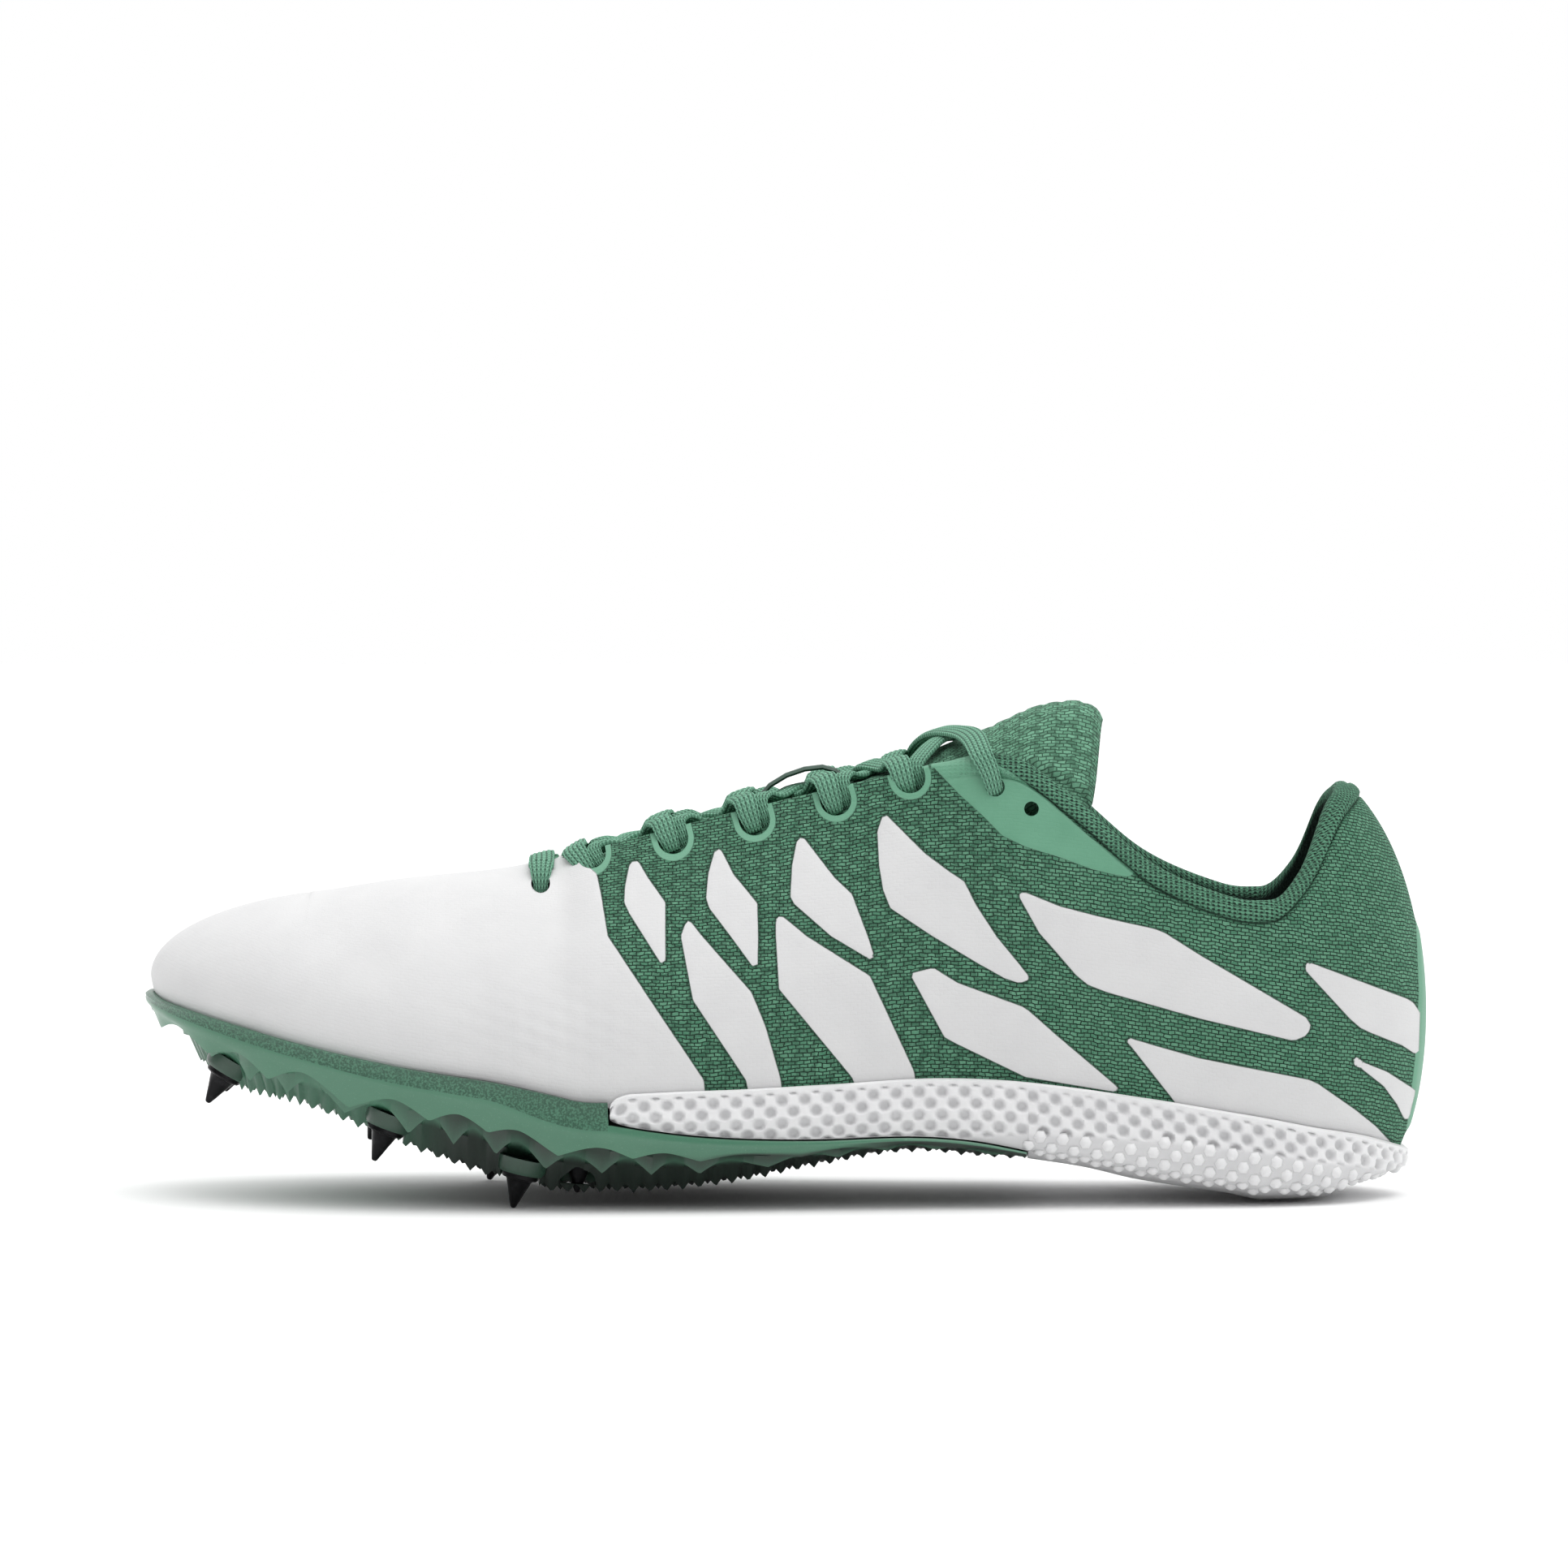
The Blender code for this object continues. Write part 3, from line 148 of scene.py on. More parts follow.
class Ribs:
    """Many ribs of the last at once: row numbers u, and side -1 (lateral) or 1 (medial)."""

    def __init__(self, u, side):
        self.u, self.side = u, side = np.asarray(u, float), np.asarray(side, float)
        across = np.where(side < 0, last_size("lateral", u), last_size("medial", u))
        seat_plan = np.stack([last_size("along", u) * LENGTH, across * BALL], axis=1)
        on_spine = np.clip(u, TOE_POLE, HEEL_POLE)
        turn = 0.030 * np.clip((THROAT - on_spine) / (THROAT - TOE_POLE), 0, 1)
        self.spine = np.stack([last_size("along", on_spine) * LENGTH, BALL * turn], axis=1)
        away = seat_plan - self.spine
        away /= np.linalg.norm(away, axis=1, keepdims=True) + 1e-12
        straight = np.stack([0 * side, side], axis=1)
        middle = ((u >= TOE_POLE) & (u <= HEEL_POLE))[:, None]
        self.out = np.where(middle, straight, away)
        self.reach = ((seat_plan - self.spine) * self.out).sum(axis=1)
        self.seat = SPRING * last_size("seat", u)
        self.rim = SPRING * last_size("rim", u)
        self.spine_seat = SPRING * last_size("seat", on_spine)
        self.open = np.where(u > THROAT, BALL * last_size("open", u), 0)
        self.top = height_unit(u) * last_size("top", u)
        height = self.top - self.seat
        self.curve = [np.stack(pair, axis=1)[:, None] for pair in (
            (self.reach, self.seat),
            (self.reach + BALL * last_size("lean", u), self.seat + height * last_size("rise", u)),
            (self.open + BALL * last_size("spread", u), self.top - height * last_size("drop", u)),
            (self.open, self.top))]

    def profile(self, v, offset=0.0):
        """Distance from the spine and height at shares v of the wall, moved out by offset:
        a cubic curve from the seat to the top, and its normal."""
        v = np.broadcast_to(v, (len(self.u), np.shape(v)[-1]))[..., None]
        a, b, c, d = self.curve
        point = (1 - v)**3 * a + 3 * (1 - v)**2 * v * b + 3 * (1 - v) * v**2 * c + v**3 * d
        ahead = (1 - v)**2 * (b - a) + 2 * (1 - v) * v * (c - b) + v**2 * (d - c)
        ahead /= np.linalg.norm(ahead, axis=-1, keepdims=True) + 1e-12
        normal = np.stack([ahead[..., 1], -ahead[..., 0]], axis=-1)
        return point + np.broadcast_to(offset, v.shape[:2])[..., None] * normal

    def place(self, points):
        """3-D places of points given as distance from the spine and height."""
        plan = self.spine[:, None] + points[..., :1] * self.out[:, None]
        return np.concatenate([plan, points[..., 1:]], axis=-1)


def loop(u):
    """Ribs from the toe tip down the lateral side to the heel and back on the medial side."""
    return Ribs(np.concatenate([u, u[-2:0:-1]]),
                np.concatenate([-np.ones(len(u)), np.ones(len(u) - 2)]))


def even_rows(count, start=0.0, end=20.0):
    """Row numbers at equal steps along the seat line."""
    fine = np.linspace(start, end, 2000)
    line = np.stack([last_size("along", fine) * LENGTH, last_size("lateral", fine) * BALL], axis=1)
    run = run_of(line)
    return np.interp(np.linspace(0, run[-1], count), run, fine)


def quads(columns, rows, wrap_columns=False, wrap_rows=False):
    """Corner numbers of the quads of a grid that is stored column by column."""
    i = np.arange(columns if wrap_columns else columns - 1)[:, None]
    j = np.arange(rows if wrap_rows else rows - 1)[None]
    i2, j2 = (i + 1) % columns, (j + 1) % rows
    return np.stack([i * rows + j, i2 * rows + j, i2 * rows + j2, i * rows + j2], axis=-1)


def end_face(columns, rows):
    """The face that closes a grid between its first and last column, which share their ends."""
    return (*range(rows), *((columns - 1) * rows + j for j in range(rows - 2, 0, -1)))


def new_piece(name, points, faces, merge=0.00002, sharp=None, **pairs):
    """Mesh object from points and faces, doubles merged and sides turned outward. Each pair of
    grids given by name is kept as a UV layer for the material to read."""
    mesh = bpy.data.meshes.new(name)
    mesh.from_pydata(np.reshape(points, (-1, 3)).tolist(), [], [tuple(face) for face in faces])
    corners = np.concatenate([np.array(face) for face in faces]) if pairs else None
    for layer, pair in pairs.items():
        values = np.stack([value.reshape(-1)[corners] for value in pair], axis=1)
        mesh.uv_layers.new(name=layer).data.foreach_set("uv", values.astype(np.float32).reshape(-1))
    bm = bmesh.new()
    bm.from_mesh(mesh)
    bmesh.ops.remove_doubles(bm, verts=bm.verts, dist=merge)
    bmesh.ops.dissolve_degenerate(bm, edges=bm.edges, dist=merge)
    bmesh.ops.recalc_face_normals(bm, faces=bm.faces)
    bm.to_mesh(mesh)
    bm.free()
    mesh.shade_smooth()
    if sharp:
        mesh.set_sharp_from_angle(angle=math.radians(sharp))
    obj = bpy.data.objects.new(name, mesh)
    bpy.context.scene.collection.objects.link(obj)
    return obj


def applied(obj):
    """The object with its modifiers applied."""
    shape = bpy.data.meshes.new_from_object(
        obj.evaluated_get(bpy.context.evaluated_depsgraph_get()))
    obj.modifiers.clear()
    obj.data = shape
    return obj


def places(obj):
    """Places of a mesh's points as an array."""
    flat = np.empty(len(obj.data.vertices) * 3)
    obj.data.vertices.foreach_get("co", flat)
    return flat.reshape(-1, 3)


def keep_value(obj, name, values):
    """Keeps one number a point as an attribute of the mesh, for the material to read."""
    layer = obj.data.attributes.new(name, "FLOAT", "POINT")
    layer.data.foreach_set("value", np.asarray(values, np.float32))


# Camera.
# The photograph is taken square to the lateral side, 3 degrees above level, from 2 m.
CAMERA_FAR, CAMERA_UP, PHOTO_WIDTH, PHOTO_MIDDLE = 2.0, math.radians(3), 0.3461, 0.0908
camera = bpy.data.objects.new("camera", bpy.data.cameras.new("camera"))
camera.data.lens = 36 * CAMERA_FAR / PHOTO_WIDTH
camera.data.clip_end = 20
camera.location = (0, -CAMERA_FAR * math.cos(CAMERA_UP),
                   PHOTO_MIDDLE + CAMERA_FAR * math.sin(CAMERA_UP))
camera.rotation_euler = (math.pi / 2 - CAMERA_UP, 0, 0)
bpy.context.scene.collection.objects.link(camera)
bpy.context.scene.camera = camera


def as_photographed(points):
    """Places in the photograph's plane, in mm from its middle and from the ground line, of
    points on the side nearer to them. Perspective makes what is nearer larger and lower."""
    x, y, z = points[:, 0], np.abs(points[:, 1]), points[:, 2]
    grow = CAMERA_FAR / (CAMERA_FAR - y)
    up = (z - PHOTO_MIDDLE) * math.cos(CAMERA_UP) - y * math.sin(CAMERA_UP)
    return np.stack([x * grow, up * grow + PHOTO_MIDDLE], axis=1) / MM


# Material building.
# Every material is a tree of nodes that reads the object's own coordinates, its surface
# coordinates in mm, or the numbers kept on its points.
def material(name):
    mat = bpy.data.materials.new(name)
    mat.use_nodes = True
    return mat, Tree(mat.node_tree), mat.node_tree.nodes["Principled BSDF"]


class Tree:
    """Short ways to add nodes to a tree. A value is a number, a colour or a socket."""

    def __init__(self, tree):
        self.tree = tree

    def node(self, kind, **settings):
        node = self.tree.nodes.new(kind)
        for key, value in settings.items():
            setattr(node, key, value)
        return node

    def put(self, value, socket):
        if hasattr(value, "links"):
            self.tree.links.new(value, socket)
        else:
            socket.default_value = value

    def math(self, operation, *values):
        node = self.node("ShaderNodeMath", operation=operation)
        for value, socket in zip(values, node.inputs):
            self.put(value, socket)
        return node.outputs[0]

    def vector(self, operation, *values):
        node = self.node("ShaderNodeVectorMath", operation=operation)
        for value, socket in zip(values, node.inputs):
            self.put(value, socket)
        return node.outputs["Value" if operation == "DOT_PRODUCT" else "Vector"]

    def plus(self, first, second):
        return self.math("ADD", first, second)

    def minus(self, first, second):
        return self.math("SUBTRACT", first, second)

    def times(self, first, second):
        return self.math("MULTIPLY", first, second)

    def split(self, vector):
        """A vector's three numbers."""
        node = self.node("ShaderNodeSeparateXYZ")
        self.put(vector, node.inputs[0])
        return node.outputs

    def mix(self, share, first, second):
        node = self.node("ShaderNodeMix", data_type="RGBA")
        for value, place in ((share, 0), (first, 6), (second, 7)):
            self.put(value, node.inputs[place])
        return node.outputs[2]

    def step(self, value, low, high):
        """0 below low, 1 above high, and a soft step between them."""
        node = self.node("ShaderNodeMapRange", interpolation_type="SMOOTHSTEP")
        self.put(value, node.inputs["Value"])
        node.inputs["From Min"].default_value = low
        node.inputs["From Max"].default_value = high
        return node.outputs["Result"]

    def kept(self, name):
        return self.node("ShaderNodeAttribute", attribute_name=name).outputs["Fac"]

    def noise(self, at, scale, detail=3.0):
        node = self.node("ShaderNodeTexNoise")
        self.put(at, node.inputs["Vector"])
        for name, value in (("Scale", scale), ("Detail", detail), ("Roughness", 0.55)):
            node.inputs[name].default_value = value
        return node.outputs["Fac"]

    def here(self):
        return self.node("ShaderNodeTexCoord").outputs["Object"]

    def surface(self, name="surface"):
        return self.node("ShaderNodeUVMap", uv_map=name).outputs["UV"]

    def bump(self, height, depth, strength=1.0, under=None):
        node = self.node("ShaderNodeBump")
        self.put(height, node.inputs["Height"])
        node.inputs["Distance"].default_value = depth
        node.inputs["Strength"].default_value = strength
        if under is not None:
            self.put(under, node.inputs["Normal"])
        return node.outputs["Normal"]

    def use(self, group, **inputs):
        node = self.node("ShaderNodeGroup", node_tree=group)
        for key, value in inputs.items():
            self.put(value, node.inputs[key])
        return node


def new_group(name, inputs, outputs):
    """Node group with named float or vector sockets."""
    group = bpy.data.node_groups.new(name, "ShaderNodeTree")
    for way, sockets in (("INPUT", inputs), ("OUTPUT", outputs)):
        for key, kind in sockets.items():
            group.interface.new_socket(key, in_out=way, socket_type=kind)
    tree = Tree(group)
    return group, tree, tree.node("NodeGroupInput").outputs, tree.node("NodeGroupOutput").inputs


# Outlines on the side, in mm as photographed from that side.
# White film panels lie on the green knit: the toe and vamp, four uprights, their feet, and
# the long quarter and heel panels. The knit shows between them as struts.
PANELS = {
    "toe": ((-146.2, 102.7), (-49.4, 79.4), (-46.6, 76), (-44.4, 73.5), (-41.4, 71.1),
            (-40.5, 67), (-38.9, 57.2), (-28.8, 41.9), (-17.7, 25.3), (-15.4, -4.8),
            (-146.2, -4.8)),
    "upright_1": ((-34, 73.6), (-32.2, 73.8), (-29.9, 69.9), (-26.2, 64.7), (-26.2, 57.2),
                  (-26.5, 50.7), (-31, 57.2), (-34.2, 62.3), (-35.3, 64.7), (-35.1, 68.3)),
    "foot_1": ((-21.3, 61.3), (-18.1, 57.2), (-7.2, 44.8), (-4.1, 37.3), (-0.7, 25.4), (-0.2, 20.2),
               (-7.3, 20.2), (-8.4, 25.3), (-11.8, 30.5), (-20.1, 43), (-22.8, 57.2)),
    "upright_2": ((-15.2, 76.3), (-14, 76.5), (-11.1, 70.8), (-5.9, 64.5), (-5.7, 57.2),
                  (-6.1, 49.8), (-11.8, 57.2), (-16.5, 63.4), (-17.2, 65.6), (-16.7, 71.1)),
    "foot_2": ((-1.8, 61.5), (-0.2, 61.5), (5, 57.2), (19, 48.4), (28.8, 27.2), (29.4, 22),
               (16.8, 22), (15, 26), (-1.1, 45.5), (-1.8, 57.2)),
    "upright_3": ((3, 79), (4.5, 78.8), (11.1, 70.2), (15, 66.5), (18.5, 57.2), (20.1, 51.6),
                  (10.4, 57.2), (2.3, 64.3), (1.4, 65.9), (1.8, 72.9)),
    "upright_4": ((21.9, 84.2), (22.8, 83.8), (31, 75.6), (36.2, 71.7), (39.8, 69.3), (42.3, 64.3),
                  (46.9, 57.2), (51.1, 52.1), (54.6, 47.7), (52.1, 46.8), (48.9, 47.8), (43, 51.1),
                  (32.8, 57.2), (23.5, 63.4), (21.9, 67.4), (21, 72.9), (20.6, 80.3)),
    "quarter": ((51.6, 66.5), (53, 67), (60.9, 63.8), (69.7, 61.5), (81.9, 58.8), (84, 58),
                (92.1, 52.9), (115.4, 39.2), (116.5, 37.4), (115.7, 35.3), (112.7, 34),
                (92.1, 38.9), (71.3, 44.8), (67.2, 46.4), (64.5, 48.6), (60.2, 53.6), (56.4, 57.9)),
    "waist": ((27.8, 48.9), (33, 50.2), (38.3, 46.9), (52.7, 41.6), (54.1, 40.7), (60.2, 35.3),
              (69.3, 27.6), (74.2, 22.9), (53.4, 26), (38.3, 33.3), (35.5, 34.8)),
    "rear_foot": ((75.6, 34.2), (76.5, 34.6), (84, 32.4), (92.1, 30.1), (116.1, 25.4),
                  (118.1, 24.5), (126.3, 18.8), (130.8, 15.2), (134.9, 10.9), (131.5, 4.1),
                  (92.1, 13.1), (85.8, 21.3)),
    "heel_high": ((115, 51.1), (116.1, 51.4), (137.6, 43.4), (139, 42.6), (140.6, 40.3),
                  (140.3, 30.6), (136.7, 33), (129.7, 35.8), (127.4, 36.9), (125.1, 38.9),
                  (115.4, 49.4)),
    "heel_low": ((125.8, 30.1), (127, 29.7), (133.3, 27.2), (139.7, 23.1), (137.8, 15.9),
                 (135.6, 19.9), (132.6, 24)),
}
TOP_FILM = ((31.7, 98.2), (31.7, 95.9), (38.7, 88.5), (43.9, 83.8), (48.2, 79.4), (53.4, 76.9),
            (60.6, 74.7), (67.9, 72), (73.5, 70.6), (76, 70.2), (77.6, 71.1), (73.3, 74.7),
            (67.2, 79.4), (58.6, 87.1), (49.8, 93.7), (45.5, 95.9), (41.9, 102.7), (33, 106.2))
BACKSTAY = ((139.4, 65.2), (147, 67), (147, 5), (136.2, 8), (137.3, 11), (139.5, 30), (140.3, 45))
FILM_FADE = 1.0           # outer part of a notch's film that is as matt and dark as the knit
CORNER = 0.7              # radius of the panels' corners


def drawn_in(outline, by):
    """The outline with each side moved inward by a length, and its corners kept."""
    p = np.array(outline, float)
    area = (p[:, 0] * np.roll(p[:, 1], -1) - p[:, 1] * np.roll(p[:, 0], -1)).sum()
    side = np.roll(p, -1, axis=0) - p
    side /= np.linalg.norm(side, axis=1, keepdims=True)
    inward = np.stack([-side[:, 1], side[:, 0]], axis=1) * np.sign(area)
    before = np.roll(inward, 1, axis=0)
    both = inward + before
    return p + by * both / np.maximum(0.35, (both * both).sum(axis=1, keepdims=True) / 2)


def beyond(outline, points):
    """Distance from each point to a closed outline, below zero inside it: the least distance
    to a side, with the sign from how often a level line crosses the outline."""
    a = np.array(outline, float)
    b = np.roll(a, -1, axis=0)
    least, crossed = np.full(len(points), 1e9), np.zeros(len(points), bool)
    for start, end in zip(a, b):
        side, off = end - start, points - start
        share = np.clip(off @ side / (side @ side), 0, 1)
        least = np.minimum(least, np.linalg.norm(off - share[:, None] * side, axis=1))
        spans = (start[1] > points[:, 1]) != (end[1] > points[:, 1])
        if start[1] != end[1]:
            x = start[0] + (points[:, 1] - start[1]) * side[0] / side[1]
            crossed ^= spans & (points[:, 0] < x)
    return np.where(crossed, -least, least)


# Notches in the throat's edges, x and bottom in mm, and the round eyelets: x, z, radius
NOTCHES = ((-41.5, 73.1), (-23.4, 76.4), (-5.5, 80.5), (12.3, 84.9), (28.5, 89.9))
NOTCH_RADIUS, NOTCH_LEAN, FILM_BAND = 3.4, 0.30, 2.3
NOTCH_OPEN, FILM_START = 16, -50       # length of a notch's open end; the films lie behind this
EYELETS = ((46.0, 91.5, 2.1), (53.9, 86.8, 1.6), (-53.4, 69.7, 2.1))


def notch_line(notch):
    """U-shaped outline of a notch in mm, leaning square to the throat's edge."""
    up = np.array([-NOTCH_LEAN, 1]) / math.hypot(NOTCH_LEAN, 1)
    across = np.array([up[1], -up[0]])
    centre = np.array(notch) + up * NOTCH_RADIUS
    turn = np.linspace(0, math.pi, 17)[:, None]
    bow = centre + NOTCH_RADIUS * (np.cos(turn) * across - np.sin(turn) * up)
    return np.concatenate([bow, [bow[-1] + up * NOTCH_OPEN, bow[0] + up * NOTCH_OPEN]])


# Upper.
# One knit wall drawn over the last: film panels a quarter of a millimetre proud, a padded
# roll round the collar above its seam, a smooth strip down the back of the heel, and a cut
# edge at the throat with a notch for each pair of lace strands.
WALL, COLLAR_WALL = 1.7 * MM, 4.2 * MM
ROLL_HEIGHT, ROLL_RISE, SEAM_DEPTH = 3.3, 0.85, 0.5
PANEL_PROUD, STRAP_PROUD, FILM_PROUD = 0.25, 0.5, 0.22
SOFT = 0.25               # half width of the soft edge of a panel or film
CUT_DEPTH = (1.9, 55)     # how far from the middle the notches and eyelets are cut, in mm
WAVE_DEPTH = 0.16         # of the waves in the vamp's film
# Soft troughs and ridges, in mm as photographed: from, to, half width, depth (+ outward)
FOLDS = (((-76, 66), (-66, 44), 5, -0.35), ((-92, 64), (-88, 44), 6, -0.22),
         ((-60, 66), (-44, 48), 5, 0.25), ((-104, 58), (-70, 40), 5, -0.2),
         ((-32, 77), (-28, 60), 4, 0.25), ((-14, 81), (-10, 62), 4, 0.25),
         ((2, 85), (8, 66), 4, 0.25), ((20, 92), (26, 70), 5, 0.3),
         ((60, 78), (84, 62), 6, -0.35), ((96, 62), (112, 46), 5, -0.4),
         ((112, 68), (128, 52), 6, 0.4), ((40, 64), (58, 40), 6, -0.25))


def toe_relief(at):
    """Faint diagonal waves moulded in the vamp's film, in mm."""
    x, z = at[:, 0], at[:, 1]
    wave = np.sin((x + 0.8 * z) * 1.05) * np.sin((x - 1.9 * z) * 0.42)
    fade = np.exp(-((x + 52) / 22)**2 - ((z - 36) / 9)**2)
    return WAVE_DEPTH * wave * fade


def fold_relief(at):
    """Height of the folds at points as photographed: a bell across each fold's line."""
    height = toe_relief(at)
    for start, end, half, depth in FOLDS:
        start, end = np.array(start, float), np.array(end, float)
        share = np.clip((at - start) @ (end - start) / ((end - start) @ (end - start)), -0.3, 1.3)
        off = np.linalg.norm(at - start - share[:, None] * (end - start), axis=1)
        height += depth * np.exp(-(off / half)**2) * np.clip(1.6 - 2 * abs(share - 0.5), 0, 1)
    return height


def panel_line(at):
    """Distance to the nearest of the panels with rounded corners, below zero inside."""
    return np.min([beyond(drawn_in(line, CORNER), at) for line in PANELS.values()], axis=0) - CORNER


def relief_at(wall):
    """How far the panels, films, strap and folds stand out at places on the wall, in mm."""
    at, side_on = as_photographed(wall), wall[:, ::2] / MM
    proud = PANEL_PROUD * soft_step(-panel_line(at), -SOFT, SOFT)
    strap = STRAP_PROUD * soft_step(-beyond(BACKSTAY, at), -0.3, 0.3)
    top = FILM_PROUD * soft_step(-beyond(TOP_FILM, at), -SOFT, SOFT)
    for notch in NOTCHES:
        band = FILM_PROUD * soft_step(FILM_BAND - beyond(notch_line(notch), side_on), -SOFT, SOFT)
        top = np.maximum(top, band * (side_on[:, 0] > FILM_START))
    return np.maximum(np.maximum(proud, top), strap) + fold_relief(at)


def build_upper():
    """The whole wall as one closed grid: up the outside, over the edge and down the inside."""
    half = even_rows(330)
    ribs = loop(half)
    closed = lambda grid: np.concatenate([grid, grid[:1]])
    outer = np.concatenate([np.linspace(0, 0.93, 80, endpoint=False), np.linspace(0.93, 1, 15)])
    end = 3 * np.linalg.norm((ribs.curve[3] - ribs.curve[2])[:, 0], axis=1)
    padded = np.clip(ribs.u - COLLAR, 0, 1)
    edge_wall = WALL + (COLLAR_WALL - WALL) * padded
    opened = ribs.u > THROAT
    v = outer * (1 - np.where(opened, edge_wall / 2 / end, 0))[:, None]
    flat = ribs.profile(v)
    run = run_down(flat)
    below = (run[:, -1:] - run) / MM
    relief = relief_at(ribs.place(flat).reshape(-1, 3)).reshape(below.shape)
    seat_fade = soft_step(run / MM, 2.0, 6.0)
    roll = ROLL_RISE * np.sqrt(np.clip(1 - (2 * below / ROLL_HEIGHT - 1)**2, 0, 1))
    seam = -SEAM_DEPTH * np.exp(-((below - ROLL_HEIGHT - 0.2) / 0.35)**2)
    collar_part = padded[:, None] * (roll + seam)
    outside = ribs.profile(v, (relief * seat_fade + collar_part) * MM)
    tip = ribs.profile(v[:, -1:], -edge_wall[:, None] / 2)
    ahead = ribs.curve[3] - ribs.curve[2]
    ahead /= np.linalg.norm(ahead, axis=-1, keepdims=True)
    normal = np.stack([ahead[..., 1], -ahead[..., 0]], axis=-1)
    turn = np.linspace(0, math.pi, 9)[None, 1:-1, None]
    dome = tip + edge_wall[:, None, None] / 2 * (np.cos(turn) * normal + np.sin(turn) * ahead)
    down = np.linspace(1, 0, 22)
    thick = WALL + (COLLAR_WALL - WALL) * padded[:, None] * soft_step(down, 0.78, 0.93)
    inside = ribs.profile(down * v[:, -1:], -thick)
    ridge = ~opened
    inside[ridge, :, 0] = np.maximum(inside[ridge, :, 0], 0)
    high, low = ribs.top[ridge] + 0.25 * MM, ribs.top[ridge] - WALL
    outside[ridge, -1], inside[ridge, 0] = (np.stack([0 * z, z], axis=1) for z in (high, low))
    dome[ridge, :, 0] = 0
    dome[ridge, :, 1] = np.linspace(high, low, 9, axis=1)[:, 1:-1]
    grid = ribs.place(np.concatenate([outside, dome, inside], axis=1))
    rows = grid.shape[1]
    grid = closed(grid)
    faces = quads(len(grid), rows, wrap_rows=True)
    dome_end = len(outer) + dome.shape[1]
    keep = np.ones(faces.shape[:2], bool)
    has_dome = closed(opened)
    keep[:, len(outer) - 1:dome_end] = (has_dome[:-1] | has_dome[1:])[:, None]
    along = run_of(grid[:, rows // 3])
    surface = np.broadcast_to(along[:, None] / MM, grid.shape[:2]), run_down(grid) / MM
    in_roll, is_inside = np.zeros((2, *grid.shape[:2]))
    in_roll[:, :len(outer)] = closed(padded[:, None] * soft_step(ROLL_HEIGHT - below, -0.2, 0.2))
    in_roll[:, len(outer):dome_end + 3] = closed(padded)[:, None]
    is_inside[:, dome_end:] = 1
    return new_piece("upper_wall", grid, faces[keep].tolist(), surface=surface,
                     part=(in_roll, is_inside))


def side_cutter(outlines):
    """One mesh of prisms that cut straight through each side of the shoe."""
    points, faces = [], []
    for side in (-1, 1):
        for outline in outlines:
            line, first, count = np.array(outline) * MM, len(points), len(outline)
            for y in CUT_DEPTH:
                points += [(x, side * y * MM, z) for x, z in line]
            faces += [range(first, first + count), range(first + count, first + 2 * count)]
            faces += [(first + i, first + (i + 1) % count, first + count + (i + 1) % count,
                       first + count + i) for i in range(count)]
    return new_piece("cutter", points, [tuple(face) for face in faces])


def ring(x, z, radius, count=24):
    turn = np.arange(count) * 2 * math.pi / count
    return np.stack([x + radius * np.cos(turn), z + radius * np.sin(turn)], axis=1)


upper = build_upper()
cutter = side_cutter([notch_line(notch) for notch in NOTCHES] + [ring(*hole) for hole in EYELETS])
cut = upper.modifiers.new("cut", "BOOLEAN")
cut.object, cut.solver, cut.operation = cutter, "EXACT", "DIFFERENCE"
applied(upper)
bpy.data.objects.remove(cutter)
upper.data.set_sharp_from_angle(angle=math.radians(50))
side_on = as_photographed(places(upper))
straight_on = places(upper)[:, ::2] / MM
film = np.min([beyond(notch_line(notch), straight_on) for notch in NOTCHES], axis=0) - FILM_BAND
film = np.where(straight_on[:, 0] > FILM_START, film + FILM_FADE, 9)
film = np.minimum(film, beyond(TOP_FILM, side_on))
keep_value(upper, "panel", panel_line(side_on))
keep_value(upper, "film", film)
keep_value(upper, "strap", beyond(BACKSTAY, side_on))
films = [name for name in nodes if "film" in name]
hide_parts("upper", *films)
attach(upper, "root")


# Knit: short ribs in rows 0.84 mm apart, bent a little by a wide noise, over soft hexagons
STITCH_LENGTH, ROW_HEIGHT, ROW_GAP = 1.7, 0.84, 0.20
CELL_WAVES = 1.61         # radians a mm, for hexagons of 4.5 mm
knit_group, t, given, result = new_group(
    "knit", {"At": "NodeSocketVector"},
    {"Rib": "NodeSocketFloat", "Cell": "NodeSocketFloat", "Fleck": "NodeSocketFloat"})
wide = t.node("ShaderNodeTexNoise")
t.put(given["At"], wide.inputs["Vector"])
wide.inputs["Scale"].default_value = 0.35
wander = t.vector("SCALE", t.vector("SUBTRACT", wide.outputs["Color"], (0.5, 0.5, 0.5)))
wander.node.inputs["Scale"].default_value = 1.1
bent = t.vector("ADD", given["At"], wander)
brick = t.node("ShaderNodeTexBrick", offset=0.5, squash=1.0)
t.put(bent, brick.inputs["Vector"])
for name, value in (("Scale", 1.0), ("Mortar Size", ROW_GAP), ("Mortar Smooth", 1.0),
                    ("Bias", 0.0), ("Brick Width", STITCH_LENGTH), ("Row Height", ROW_HEIGHT),
                    ("Color1", (0, 0, 0, 1)), ("Color2", (1, 1, 1, 1)),
                    ("Mortar", (0.5, 0.5, 0.5, 1))):
    brick.inputs[name].default_value = value
t.put(t.minus(1.0, brick.outputs["Fac"]), result["Rib"])
t.put(brick.outputs["Color"], result["Fleck"])
waves = [t.math("COSINE", t.vector("DOT_PRODUCT", bent, (
    CELL_WAVES * math.cos(math.radians(turn)), CELL_WAVES * math.sin(math.radians(turn)), 0)))
    for turn in (0, 60, 120)]
